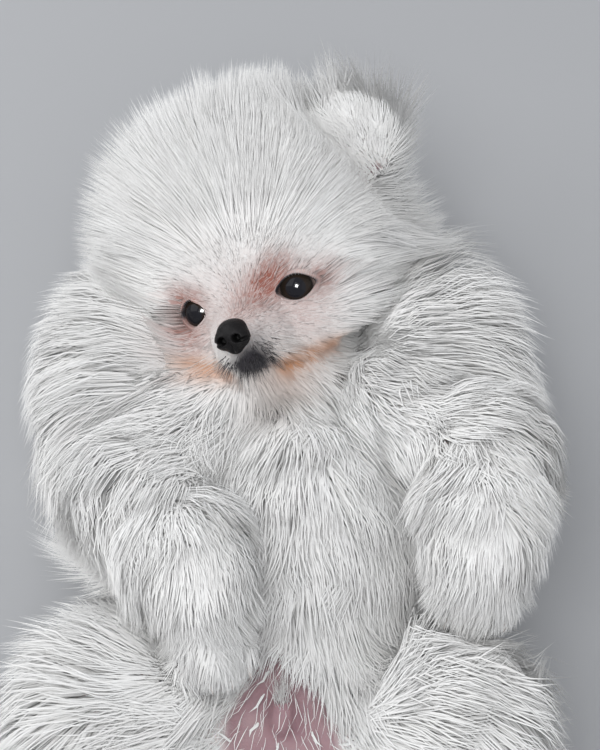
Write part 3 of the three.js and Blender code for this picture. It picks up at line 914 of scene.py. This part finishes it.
def growCoat(total, stretch, widen, flatten):
    roots, rootUv = scatterRoots(total)
    weights = regionWeights(roots)
    sizes = coatSizes(roots, weights)
    normals = body.normal(roots)
    lies = coatLie(roots, weights)
    guideCount = min(int(area.sum() / growth["clumpArea"]), total)
    guides = rng.choice(total, guideCount, replace=False)
    tree = kdtree.KDTree(guideCount)
    for i, guide in enumerate(guides):
        tree.insert(roots[guide], i)
    tree.balance()
    owner = np.array([tree.find(root)[1] for root in roots])
    swings = rng.normal(0, growth["clumpSwing"], guideCount)
    lifts = rng.normal(0, growth["lift"], guideCount)
    reaches = rng.uniform(*growth["clumpReach"], guideCount)
    calm = mix(1, growth["headCalm"], weights[:, coatNames.index("head")])
    swing = (swings[owner] + rng.normal(0, growth["swing"], total)) * calm
    lift = (lifts[owner] + rng.normal(0, growth["lift"] * growth["ownLift"], total)) * calm
    reach = mix(1, reaches[owner], calm) * rng.uniform(*growth["ownReach"], total)
    length = sizes[:, lengthAt] * reach * stretch
    riseRoot, riseTip = sizes[:, rootAt] * flatten + lift, sizes[:, tipAt] * flatten + lift
    paths = growPaths(roots, spin(lies, normals, swing), length, riseRoot, riseTip)
    near = np.linalg.norm(roots - roots[guides][owner], axis=1) / math.sqrt(growth["clumpArea"])
    gather = sizes[:, gatherAt][:, None] * stations[None, :] ** 1.4 * smooth(1.4, 0.5, near[:, None])
    paths = mix(paths, paths[guides][owner], gather[:, :, None])
    phase = rng.uniform(0, 2 * math.pi, guideCount)[owner] + rng.normal(0, growth["phase"], total)
    sideways = unit(np.cross(paths[:, -1] - paths[:, 0], normals))
    turn = phase[:, None] + stations[None, :] * growth["waveTurn"]
    wave = sizes[:, waveAt][:, None] * np.sin(turn) * stations[None, :]
    paths = keepClear(paths + sideways[:, None, :] * wave[:, :, None])
    height = paths[:, :, 2]
    height = np.where(height > ceiling["start"], mix(ceiling["start"], height, ceiling["ease"]), height)
    paths[:, :, 2] = np.maximum(height, growth["lowest"])
    aside = paths[:, :, 0] + shift[0]
    beyond = np.maximum(np.abs(aside) - ceiling["sideStart"], 0) * (1 - ceiling["sideEase"])
    paths[:, :, 0] -= np.sign(aside) * beyond
    shade = rng.random(total)
    return {
        "paths": paths,
        "widths": sizes[:, widthAt] * (0.75 + 0.5 * shade) * widen,
        "normals": normals,
        "uv": rootUv,
        "roots": roots,
        "region": weights.argmax(1),
        "short": sizes[:, lengthAt] < 12,
        "length": sizes[:, lengthAt],
        "shade": shade,
        "clump": rng.random(guideCount)[owner],
    }


# A tuft is a three-sided blade with a low ridge, pointed at both ends
blade = {"widths": (1, 0.8), "ridge": 0.3, "soft": 0.93, "upward": 0.6, "lowest": 0.7, "patch": 0.003}


def bladeMesh(name, paths, widths, normals, uvAt, values):
    count, rings = len(paths), paths.shape[1] - 2
    perTuft = rings * 3 + 2
    points = np.empty((count, perTuft, 3))
    place = np.zeros((perTuft, 2))
    points[:, 0], points[:, -1] = paths[:, 0], paths[:, -1]
    place[0, 1], place[-1, 1] = -0.5, 0.5
    faces = []
    for r in range(rings):
        ahead = unit(paths[:, r + 2] - paths[:, r])
        side = unit(np.cross(ahead, normals))
        top = np.cross(side, ahead)
        half = (widths * 0.5 * blade["widths"][r])[:, None]
        first = 1 + r * 3
        points[:, first] = paths[:, r + 1] + side * half
        points[:, first + 1] = paths[:, r + 1] + top * half * blade["ridge"] * 2
        points[:, first + 2] = paths[:, r + 1] - side * half
        for k in range(3):
            i, j = first + k, first + (k + 1) % 3
            place[i] = ((k - 1) / 2, (r + 1) / (rings + 1) - 0.5)
            if r == 0:
                faces.append((i, j, 0))
            if r == rings - 1:
                faces.append((j, i, perTuft - 1))
            else:
                faces += [(j, i, j + 3), (j + 3, i, i + 3)]
    index = (np.array(faces)[None] + (np.arange(count) * perTuft)[:, None, None]).reshape(-1)
    mesh = bpy.data.meshes.new(name)
    mesh.vertices.add(count * perTuft)
    mesh.vertices.foreach_set("co", toMetres(points.reshape(-1, 3)).astype(np.float32).ravel())
    mesh.loops.add(len(index))
    mesh.loops.foreach_set("vertex_index", index.astype(np.int32))
    mesh.polygons.add(len(index) // 3)
    mesh.polygons.foreach_set("loop_start", np.arange(0, len(index), 3, dtype=np.int32))
    shadeSmooth(mesh)
    mesh.update(calc_edges=True)
    own = np.empty(len(mesh.vertices) * 3, np.float32)
    mesh.vertices.foreach_get("normal", own)
    shading = normals + vec(0, 0, blade["upward"])
    shading[:, 2] = np.maximum(shading[:, 2], blade["lowest"])
    shading = unit(shading)
    softened = mix(own.reshape(-1, 3), np.repeat(shading, perTuft, axis=0), blade["soft"])
    mesh.normals_split_custom_set_from_vertices(unit(softened).tolist())
    spots = (uvAt[:, None] + place[None] * blade["patch"]).reshape(-1, 2)
    layer = mesh.uv_layers.new(name="OFBake")
    layer.data.foreach_set("uv", spots[index].astype(np.float32).ravel())
    inRing = np.concatenate([[0], np.repeat(np.arange(1, rings + 1), 3), [rings + 1]])
    for key, value in values.items():
        perPoint = value[:, inRing].ravel() if value.ndim == 2 else np.repeat(value, perTuft)
        setAttribute(mesh, key, perPoint)
    return newObject(name, mesh)


def pieceNames(tufts):
    f, u, l = inHead(tufts["roots"])
    names = np.array(["coat" + "".join(w.capitalize() for w in name.split("_")) for name in coatNames])
    pieceOf = names[tufts["region"]].astype("U24")
    onHeadNow = pieceOf == "coatHead"
    left = l > 0
    pieceOf[onHeadNow & (u > 8) & left] = "coatCrownLeft"
    pieceOf[onHeadNow & (u > 8) & ~left] = "coatCrownRight"
    pieceOf[onHeadNow & (u <= 8)] = "coatCheeks"
    pieceOf[onHeadNow & tufts["short"] & left] = "coatFaceLeft"
    pieceOf[onHeadNow & tufts["short"] & ~left] = "coatFaceRight"
    return pieceOf


amount = 1
outer = growCoat(int(coatCounts["outer"] * amount), 1, 1, 1)
under = growCoat(int(coatCounts["under"] * amount), 0.62, 4, 0.88)
longEnough = under["length"] > growth["underFrom"]
tufts = {key: np.concatenate([outer[key], under[key][longEnough]]) for key in outer}
pieceOf = pieceNames(tufts)
coatPieces = []
total = 0
shortPieces = ("coatFace", "coatEar", "coatCrown", "coatForepaw", "coatHindfoot", "coatCheeks")
for pieceName in sorted(set(pieceOf)):
    chosen = pieceOf == pieceName
    values = {"shade": tufts["shade"][chosen], "clump": tufts["clump"][chosen]}
    paths = tufts["paths"][chosen]
    if pieceName.startswith(shortPieces):
        paths = paths[:, shortStations]
    for key, value in zip(("stain", "lip", "dark"), markings(paths.reshape(-1, 3))):
        values[key] = value.reshape(paths.shape[:2])
    piece = bladeMesh(
        pieceName, paths, tufts["widths"][chosen], tufts["normals"][chosen], tufts["uv"][chosen], values
    )
    coatPieces.append(piece)
    total += len(piece.data.polygons)
    print(pieceName, chosen.sum(), len(piece.data.polygons))
print("coat triangles", total)


# Shader maths: a wrapped socket adds a node for each operation
class Sock:
    def __init__(self, tree, socket):
        self.tree = tree
        self.socket = socket

    def op(self, operation, *others):
        node = self.tree.nodes.new("ShaderNodeMath")
        node.operation = operation
        for i, value in enumerate((self,) + others):
            plug(self.tree, node.inputs[i], value)
        return Sock(self.tree, node.outputs[0])

    def __add__(self, other):
        return self.op("ADD", other)

    def __mul__(self, other):
        return self.op("MULTIPLY", other)

    def __sub__(self, other):
        return self.op("SUBTRACT", other)

    def __rsub__(self, other):
        return (self * -1).op("ADD", other)

    __radd__ = __add__
    __rmul__ = __mul__

    def clamp(self):
        return self.op("MAXIMUM", 0).op("MINIMUM", 1)


def plug(tree, socket, value):
    if isinstance(value, Sock):
        tree.links.new(value.socket, socket)
    else:
        socket.default_value = value


class Grower:
    def __init__(self, tree):
        self.tree = tree

    def node(self, kind, settings=None, output=0, **sockets):
        node = self.tree.nodes.new(kind)
        for key, value in (settings or {}).items():
            setattr(node, key, value)
        for key, value in sockets.items():
            plug(self.tree, node.inputs[key.replace("_", " ")], value)
        return Sock(self.tree, node.outputs[output])


class Finish(Grower):
    def __init__(self, name, **constants):
        self.material = bpy.data.materials.new(name)
        self.material.use_nodes = True
        super().__init__(self.material.node_tree)
        self.shader = self.tree.nodes["Principled BSDF"]
        for key, value in constants.items():
            self.shader.inputs[key.replace("_", " ")].default_value = value

    def attribute(self, name):
        return self.node("ShaderNodeAttribute", {"attribute_name": name}, output="Fac")

    def place(self):
        return self.node("ShaderNodeTexCoord", output="Object")

    def noise(self, scale, detail=3, roughness=0.5):
        return self.node(
            "ShaderNodeTexNoise", Vector=self.place(), Scale=scale, Detail=detail, Roughness=roughness
        )

    def blend(self, factor, a, b):
        node = self.tree.nodes.new("ShaderNodeMix")
        node.data_type = "RGBA"
        plug(self.tree, node.inputs[0], factor)
        for i, value in ((6, a), (7, b)):
            plug(self.tree, node.inputs[i], value if isinstance(value, Sock) else (*value, 1))
        return Sock(self.tree, node.outputs[2])

    def set(self, name, value):
        plug(self.tree, self.shader.inputs[name], value)

    def bumped(self, height, strength, distance):
        self.set("Normal", self.node("ShaderNodeBump", Height=height, Strength=strength, Distance=distance))


colours = {
    "white": (0.96, 0.96, 0.95),
    "cream": (0.91, 0.9, 0.88),
    "stain": (0.33, 0.125, 0.095),
    "lip": (0.62, 0.31, 0.17),
    "dark": (0.045, 0.042, 0.048),
    "pink": (0.45, 0.3, 0.315),
    "rose": (0.32, 0.17, 0.2),
    "underfur": (0.9, 0.87, 0.85),
}


def marked(finish, base):
    streak = finish.attribute("shade") * 0.6 + 0.7
    stained = finish.blend((finish.attribute("stain") * streak).clamp(), base, colours["stain"])
    lipped = finish.blend(finish.attribute("lip"), stained, colours["lip"])
    return finish.blend(finish.attribute("dark"), lipped, colours["dark"])


def coatFinish():
    finish = Finish("coat", Roughness=0.8, Sheen_Weight=0.2, Sheen_Roughness=0.5, Specular_IOR_Level=0.1)
    fleck = finish.attribute("shade") * 0.5 + finish.attribute("clump") * 0.35
    base = finish.blend(fleck, colours["white"], colours["cream"])
    finish.set("Base Color", marked(finish, base))
    return finish.material


def skinFinish():
    finish = Finish("skin", Roughness=0.55, Subsurface_Weight=0.15, Subsurface_Scale=0.002)
    finish.shader.inputs["Subsurface Radius"].default_value = (1, 0.4, 0.3)
    mottle = (finish.noise(90, 4) * 1.6 - 0.3).clamp()
    bareSkin = finish.blend(mottle, colours["pink"], colours["rose"])
    # Bare pink skin: the belly's bare wedge, and the ear crease, where the pink is partly painted shade
    base = finish.blend(finish.attribute("bare"), colours["underfur"], bareSkin)
    finish.set("Base Color", marked(finish, base))
    finish.bumped(finish.noise(900, 3), 0.35, 0.0006)
    return finish.material


print("materials")
coatMaterial = coatFinish()
skinMaterial = skinFinish()
skinPiece.data.materials.append(skinMaterial)
for piece in coatPieces:
    piece.data.materials.append(coatMaterial)

# Eyes: a dark ball each with a slight cornea, its pole along the gaze
eyeball = {"cornea": 0.35, "corneaSpread": 0.62, "segments": 56, "rings": 40}


def eyePiece(side):
    gaze, across, upward = eyeFrame(side)
    shape = bmesh.new()
    bmesh.ops.create_uvsphere(shape, u_segments=eyeball["segments"], v_segments=eyeball["rings"], radius=1)
    points = np.array([v.co for v in shape.verts])
    mesh = bpy.data.meshes.new("eye" + side.capitalize())
    shape.to_mesh(mesh)
    shape.free()
    angle = np.arccos(np.clip(points[:, 2], -1, 1))
    radius = face["eyeRadius"] + eyeball["cornea"] * bump(angle, eyeball["corneaSpread"])
    placed = points[:, :1] * across + points[:, 1:2] * upward + points[:, 2:] * gaze
    setPoints(mesh, toMetres(eyes[side] + placed * radius[:, None]))
    setAttribute(mesh, "fromPupil", angle / math.pi)
    shadeSmooth(mesh)
    return newObject("eye" + side.capitalize() + "Ball", mesh)


def eyeFinish():
    finish = Finish("eye", Roughness=0.1, Coat_Weight=0.28, Coat_Roughness=0.02, Specular_IOR_Level=0.05)
    ramp = finish.tree.nodes.new("ShaderNodeValToRGB")
    stops = ((0.0, (0.003, 0.003, 0.004)), (0.15, (0.004, 0.004, 0.005)), (0.18, (0.006, 0.004, 0.003)),
             (0.27, (0.005, 0.004, 0.003)), (0.3, (0.006, 0.005, 0.005)), (0.42, (0.12, 0.09, 0.08)))
    for i, (place, colour) in enumerate(stops):
        stop = ramp.color_ramp.elements[i] if i < 2 else ramp.color_ramp.elements.new(place)
        stop.position = place
        stop.color = (*colour, 1)
    plug(finish.tree, ramp.inputs[0], finish.attribute("fromPupil"))
    finish.set("Base Color", Sock(finish.tree, ramp.outputs[0]))
    return finish.material


eyeMaterial = eyeFinish()
for side in ("left", "right"):
    piece = eyePiece(side)
    piece.data.materials.append(eyeMaterial)
    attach(piece, "root")
    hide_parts("eye_" + side)

# Nose: a soft triangle of leather with two nostrils and a groove below
nose = {"rounding": 1.3, "voxel": 0.3}


def onNose(f, u, l):
    return noseCentre + f * headForward + u * headUp + l * headLeft


noseForms = [
    ball(onNose(0, 0, 0), (4.4, 4.9, 5.4), headAxes),
    ball(onNose(1.4, -0.8, 3.2), (3.0, 2.8, 2.5), headAxes),
    ball(onNose(1.4, -0.8, -3.2), (3.0, 2.8, 2.5), headAxes),
    ball(onNose(-1.2, 2.2, 0), (3.8, 3.0, 4.6), headAxes),
    ball(onNose(0.4, -3.6, 0), (3.0, 2.2, 2.3), headAxes),
]


def noseDistance(p):
    return joined(noseForms, nose["rounding"], p)


def nosePiece():
    piece = roundedMesh("noseLeather", spheresOf(noseForms), nose["voxel"])
    points = settle(noseDistance, pointsOf(piece.data), 4)
    f, u, l = ((points - noseCentre) @ headAxes.T).T
    front = smooth(0.5, 2, f)
    hole = np.hypot((u + 0.7) / 1.35, (np.abs(l) - 2.5) / 1.5)
    slit = np.hypot((u + 2.0 - 0.25 * (np.abs(l) - 2.5)) / 0.7, (np.abs(l) - 4.4) / 1.9)
    groove = bump(l, 0.45) * smooth(-0.5, -2.5, u)
    depth = 3.2 * fadeOut(0.85, 0.35, hole) * front
    depth = np.maximum(depth, 1.5 * fadeOut(0.8, 0.4, slit) * smooth(-1, 1, f))
    depth = np.maximum(depth, 0.7 * groove * front)
    points -= headForward * depth[:, None]
    setPoints(piece.data, toMetres(points))
    # The depth of the nostrils, slit and groove is kept to paint them darker, as shade in these hollows
    setAttribute(piece.data, "hollow", np.clip(depth / 2.5, 0, 1))
    shadeSmooth(piece.data)
    return piece


def noseFinish():
    finish = Finish(
        "noseLeather", Roughness=0.46, Coat_Roughness=0.25, Coat_Weight=0.08, Specular_IOR_Level=0.16
    )
    tone = finish.noise(260, 3)
    base = finish.blend(tone, (0.004, 0.0035, 0.004), (0.012, 0.011, 0.012))
    # Painted shade: the nostrils, slit and groove are coloured darker than the leather according to their
    # depth
    finish.set("Base Color", finish.blend(finish.attribute("hollow"), base, (0.004, 0.004, 0.004)))
    place = finish.place()
    pebbles = finish.node("ShaderNodeTexVoronoi", {"feature": "SMOOTH_F1"}, Vector=place, Scale=1500)
    finish.bumped(pebbles, 0.5, 0.00025)
    return finish.material


noseMesh = nosePiece()
noseMesh.data.materials.append(noseFinish())
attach(noseMesh, "root")
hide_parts("nose")
print("eyes and nose")

# Whiskers, lashes, chin bristles and claws: bent, tapered cones that one node tree puts on points
def spikeTree(material):
    tree = bpy.data.node_groups.new("spikes", "GeometryNodeTree")
    sockets = {}
    for label, kind in (("Points", "Geometry"), ("Sides", "Int"), ("Segments", "Int"), ("Bend", "Float")):
        socket = tree.interface.new_socket(label, in_out="INPUT", socket_type="NodeSocket" + kind)
        sockets[label] = socket.identifier
    tree.interface.new_socket("Spikes", in_out="OUTPUT", socket_type="NodeSocketGeometry")
    grower = Grower(tree)
    source = tree.nodes.new("NodeGroupInput")
    given = {label: Sock(tree, source.outputs[label]) for label in sockets}

    def stored(name, kind):
        return grower.node("GeometryNodeInputNamedAttribute", {"data_type": kind}, Name=name)

    cone = grower.node(
        "GeometryNodeMeshCone", Vertices=given["Sides"], Side_Segments=given["Segments"],
        Radius_Top=0.0, Radius_Bottom=1.0, Depth=1.0,
    )
    position = grower.node("GeometryNodeInputPosition")
    height = grower.node("ShaderNodeSeparateXYZ", output="Z", Vector=position)
    lean = grower.node("ShaderNodeCombineXYZ", X=given["Bend"] * height * height)
    bent = grower.node("GeometryNodeSetPosition", Geometry=cone, Offset=lean)
    aim = grower.node(
        "FunctionNodeAlignRotationToVector", {"axis": "Z"}, Vector=stored("aim", "FLOAT_VECTOR")
    )
    roll = grower.node(
        "FunctionNodeAlignRotationToVector", {"axis": "X", "pivot_axis": "Z"},
        Rotation=aim, Vector=stored("toward", "FLOAT_VECTOR"),
    )
    thick = stored("thick", "FLOAT")
    size = grower.node("ShaderNodeCombineXYZ", X=thick, Y=thick, Z=stored("long", "FLOAT"))
    placed = grower.node(
        "GeometryNodeInstanceOnPoints", Points=given["Points"], Instance=bent, Rotation=roll, Scale=size
    )
    solid = grower.node("GeometryNodeRealizeInstances", Geometry=placed)
    rounded = grower.node("GeometryNodeSetShadeSmooth", Geometry=solid)
    finished = grower.node("GeometryNodeSetMaterial", Geometry=rounded, Material=material)
    tree.links.new(finished.socket, tree.nodes.new("NodeGroupOutput").inputs[0])
    return tree, sockets


def spikes(name, rows, shape, material):
    tree, sockets = spikeTree(material)
    mesh = bpy.data.meshes.new(name)
    mesh.from_pydata(toMetres(np.array([row[0] for row in rows])).tolist(), [], [])
    for key, column in (("aim", 1), ("toward", 2)):
        values = unit(np.array([row[column] for row in rows]))
        attribute = mesh.attributes.new(key, "FLOAT_VECTOR", "POINT")
        attribute.data.foreach_set("vector", values.astype(np.float32).ravel())
    for key, column in (("long", 3), ("thick", 4)):
        setAttribute(mesh, key, [row[column] * 0.001 for row in rows])
    piece = newObject(name, mesh)
    grown = piece.modifiers.new("Spikes", "NODES")
    grown.node_group = tree
    for label, value in shape.items():
        grown[sockets[label]] = value
    depsgraph = bpy.context.evaluated_depsgraph_get()
    piece.data = bpy.data.meshes.new_from_object(piece.evaluated_get(depsgraph))
    piece.modifiers.clear()
    bpy.data.meshes.remove(mesh)
    patchSpikes(piece.data, rows)
    return piece


# Each spike's patch lies at its root's place on the skin's unwrap
def patchSpikes(mesh, rows):
    roots, aims = np.array([row[0] for row in rows]), unit(np.array([row[1] for row in rows]))
    long, thick = np.array([row[3:5] for row in rows]).T
    closest = [np.linalg.norm(skinPoints - root, axis=1).argmin() for root in roots]
    corners = np.empty(len(mesh.loops), np.int32)
    mesh.loops.foreach_get("vertex_index", corners)
    owner = np.arange(len(corners)) * len(rows) // len(corners)
    offset = (pointsOf(mesh) * 1000 - shift)[corners] - roots[owner]
    along = (offset * aims[owner]).sum(1) / long[owner] - 0.5
    aside = (offset * np.cross(aims, headUp)[owner]).sum(1) / thick[owner] * 0.25
    spots = uvOfPoint[closest][owner] + np.clip(np.stack([aside, along], 1), -0.5, 0.5) * blade["patch"]
    mesh.uv_layers.new(name="OFBake").data.foreach_set("uv", spots.astype(np.float32).ravel())


whisker = {"count": 11, "long": (13, 24), "thick": 0.07, "bend": 26.0}
lash = {"count": 17, "long": (2.6, 4.2), "thick": 0.06, "bend": 14.0}
bristle = {"count": 230, "long": (3, 7.5), "thick": 0.11, "bend": 10.0}
claw = {"long": 5.2, "thick": 1.0, "bend": 1.6}
sheathTuft = {"count": 70, "long": (5, 10), "thick": 0.12, "bend": 12.0}


def onMuzzle(f, u, l):
    direction = unit(f * headForward + u * headUp + l * headLeft)
    return reachSurface(skinDistance, onHead(16, -18, 0), direction[None], 30)[0], direction


def whiskerRows():
    rows = []
    for sign in (1, -1):
        for i in range(whisker["count"]):
            height = -0.35 + 0.16 * (i % 4) + rng.normal(0, 0.03)
            place, out = onMuzzle(1 - 0.14 * (i // 4), height, sign * (0.75 + 0.22 * (i // 4)))
            aim = out + headLeft * sign * 0.9 - headUp * 0.25 + rng.normal(0, 0.12, 3)
            rows.append((place, aim, -headUp, rng.uniform(*whisker["long"]), whisker["thick"]))
    return rows


def lashRows():
    rows = []
    for side in ("left", "right"):
        gaze, across, upward = eyeFrame(side)
        for turn in np.linspace(0.25, math.pi - 0.25, lash["count"]):
            aside, above = math.cos(turn), math.sin(turn)
            out = across * aside * lids[side][0] + upward * above * lids[side][1]
            depth = math.sqrt(max((face["eyeRadius"] + skin["lid"]) ** 2 - out @ out, 1))
            place = eyes[side] + out * 1.04 + gaze * (depth - 0.3)
            aim = gaze * 0.7 + upward * 0.5 + across * aside * 0.7 + rng.normal(0, 0.1, 3)
            rows.append((place, aim, upward, rng.uniform(*lash["long"]), lash["thick"]))
    return rows


def bristleRows():
    rows = []
    for _ in range(bristle["count"]):
        aside = rng.normal(0.12, 0.4)
        height = rng.uniform(-0.6, 0.12)
        place, out = onMuzzle(1, height, aside)
        if np.linalg.norm(place - noseCentre) < 6.5 or height > 0 and aside < 0.2:
            continue
        aim = out * 0.7 + headLeft * aside * 1.2 - headUp * (0.3 - height) + rng.normal(0, 0.18, 3)
        rows.append((place, aim, -headUp, rng.uniform(*bristle["long"]), bristle["thick"]))
    return rows


def clawRows():
    rows = []
    for centre, along, foot, radius in toes:
        under = footFrames[foot][3]
        size = radius / 5.2
        place = centre + along * radius * 0.75 - under * radius * 0.1
        rows.append((place, along + under * 0.15, under, claw["long"] * size, claw["thick"] * size))
    return rows


def padPiece():
    forms = []
    for centre, along, across, under, reach in padPlaces:
        forms.append(ball(centre, (reach, reach * 0.9, reach * 0.55), np.array([along, across, under])))
    piece = roundedMesh("pads", spheresOf(forms), 0.5)
    setPoints(piece.data, toMetres(pointsOf(piece.data)))
    shadeSmooth(piece.data)
    return piece


def sheathRows():
    rows = []
    for _ in range(sheathTuft["count"]):
        place = skin["sheath"] + vec(rng.normal(0, 1.1), rng.normal(3.5, 1.5), 3.2)
        aim = vec(rng.normal(0, 0.25), 0.75, 0.8 + rng.normal(0, 0.2))
        rows.append((place, aim, vec(0, 1, -0.2), rng.uniform(*sheathTuft["long"]), sheathTuft["thick"]))
    return rows


def plainFinish(name, colour, other, scale, **constants):
    finish = Finish(name, **constants)
    finish.set("Base Color", finish.blend(finish.noise(scale), colour, other))
    return finish.material


paleHair = plainFinish("paleHair", (0.72, 0.71, 0.7), (0.9, 0.89, 0.87), 300, Roughness=0.5)
darkHair = plainFinish("darkHair", (0.03, 0.03, 0.034), (0.1, 0.095, 0.1), 500, Roughness=0.55)
horn = plainFinish("claw", (0.5, 0.42, 0.38), (0.72, 0.64, 0.58), 400, Roughness=0.35, Coat_Weight=0.2)
spikePieces = []
for name, rowsOf, sides, segments, bend, material, slot in (
    ("whiskers", whiskerRows, 5, 6, whisker["bend"], paleHair, "coat"),
    ("lashes", lashRows, 4, 3, lash["bend"], paleHair, "coat"),
    ("chinHair", bristleRows, 4, 3, bristle["bend"], darkHair, "coat"),
    ("sheathTuft", sheathRows, 4, 4, sheathTuft["bend"], paleHair, "coat"),
    ("claws", clawRows, 10, 5, claw["bend"], horn, "claw"),
):
    shape = {"Sides": sides, "Segments": segments, "Bend": bend}
    spikePieces.append((spikes(name, rowsOf(), shape, material), slot))
pads = padPiece()
padFinish = Finish("pads", Roughness=0.5)
padFinish.set("Base Color", padFinish.blend(padFinish.noise(500, 4), (0.34, 0.2, 0.2), (0.5, 0.33, 0.32)))
padFinish.bumped(padFinish.node("ShaderNodeTexVoronoi", Vector=padFinish.place(), Scale=1400), 0.4, 0.0002)
pads.data.materials.append(padFinish.material)
spikePieces.append((pads, "skin"))
for piece, slot in spikePieces:
    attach(piece, "root")
print("whiskers, lashes and claws", [len(piece.data.polygons) for piece, slot in spikePieces])

# Floor, light and camera
view = {"target": vec(0, 0, 66), "distance": 500, "rise": 72, "lens": 75}
viewRise = math.radians(view["rise"])
target = toMetres(view["target"])


def aimed(piece, place, at):
    piece.location = Vector(place)
    piece.rotation_euler = Vector(np.array(at) - np.array(place)).to_track_quat("-Z", "Y").to_euler()


camera = bpy.data.cameras.new("camera")
camera.lens = view["lens"]
camera.sensor_fit = "VERTICAL"
camera.sensor_height = 36
cameraPiece = newObject("camera", camera)
backwards = vec(0, -math.cos(viewRise), math.sin(viewRise))
aimed(cameraPiece, target + backwards * view["distance"] * 0.001, target)
bpy.context.scene.camera = cameraPiece

lights = {
    "softbox": {"offset": (-0.09, -0.2, 0.94), "size": 0.55, "power": 4.1},
    "windowLeft": {"offset": (-0.7, 0.3, 0.55), "size": 0.9, "power": 3.6},
    "fillRight": {"offset": (1.2, -0.3, 0.8), "size": 1.4, "power": 1.7},
    "catchlight": {"offset": (-0.06, -0.2, 0.8), "size": 0.26, "power": 22, "only": "eyes"},
}
eyeGroup = bpy.data.collections.new("eyes")
for side in ("Left", "Right"):
    eyeGroup.objects.link(bpy.data.objects["eye" + side + "Ball"])
for name, light in lights.items():
    lamp = bpy.data.lights.new(name, "AREA")
    lamp.shape = "SQUARE"
    lamp.size = light["size"]
    lamp.energy = light["power"]
    lampPiece = newObject(name, lamp)
    aimed(lampPiece, target + vec(*light["offset"]), target)
    if "only" in light:
        lampPiece.light_linking.receiver_collection = eyeGroup

surround = {"colour": (0.93, 0.955, 1.0, 1), "strength": 0.47}
world = bpy.data.worlds.new("studio")
bpy.context.scene.world = world
world.use_nodes = True
backdrop = world.node_tree.nodes["Background"]
backdrop.inputs["Color"].default_value = surround["colour"]
backdrop.inputs["Strength"].default_value = surround["strength"]
bpy.context.scene.view_settings.view_transform = "Standard"

floorMesh = bpy.data.meshes.new("floor")
floorReach = 3
floorCorners = [(x * floorReach, y * floorReach, 0) for x, y in ((-1, -1), (1, -1), (1, 1), (-1, 1))]
floorMesh.from_pydata(floorCorners, [], [(0, 1, 2, 3)])
floor = newObject("floor", floorMesh)
floorFinish = Finish("floorPaper", Roughness=0.8)
floorTones = (0.435, 0.442, 0.456), (0.455, 0.462, 0.476)
floorFinish.set("Base Color", floorFinish.blend(floorFinish.noise(2, 2), *floorTones))
floor.data.materials.append(floorFinish.material)
floor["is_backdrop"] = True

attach(skinPiece, "root")
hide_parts(*[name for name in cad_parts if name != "nose" and not name.startswith("eye_")])
for piece in coatPieces:
    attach(piece, "root")

sizes = {"solids": [list(c) for c in solidBounds], "visual": [list(c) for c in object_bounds()]}
print("sizes", sizes)
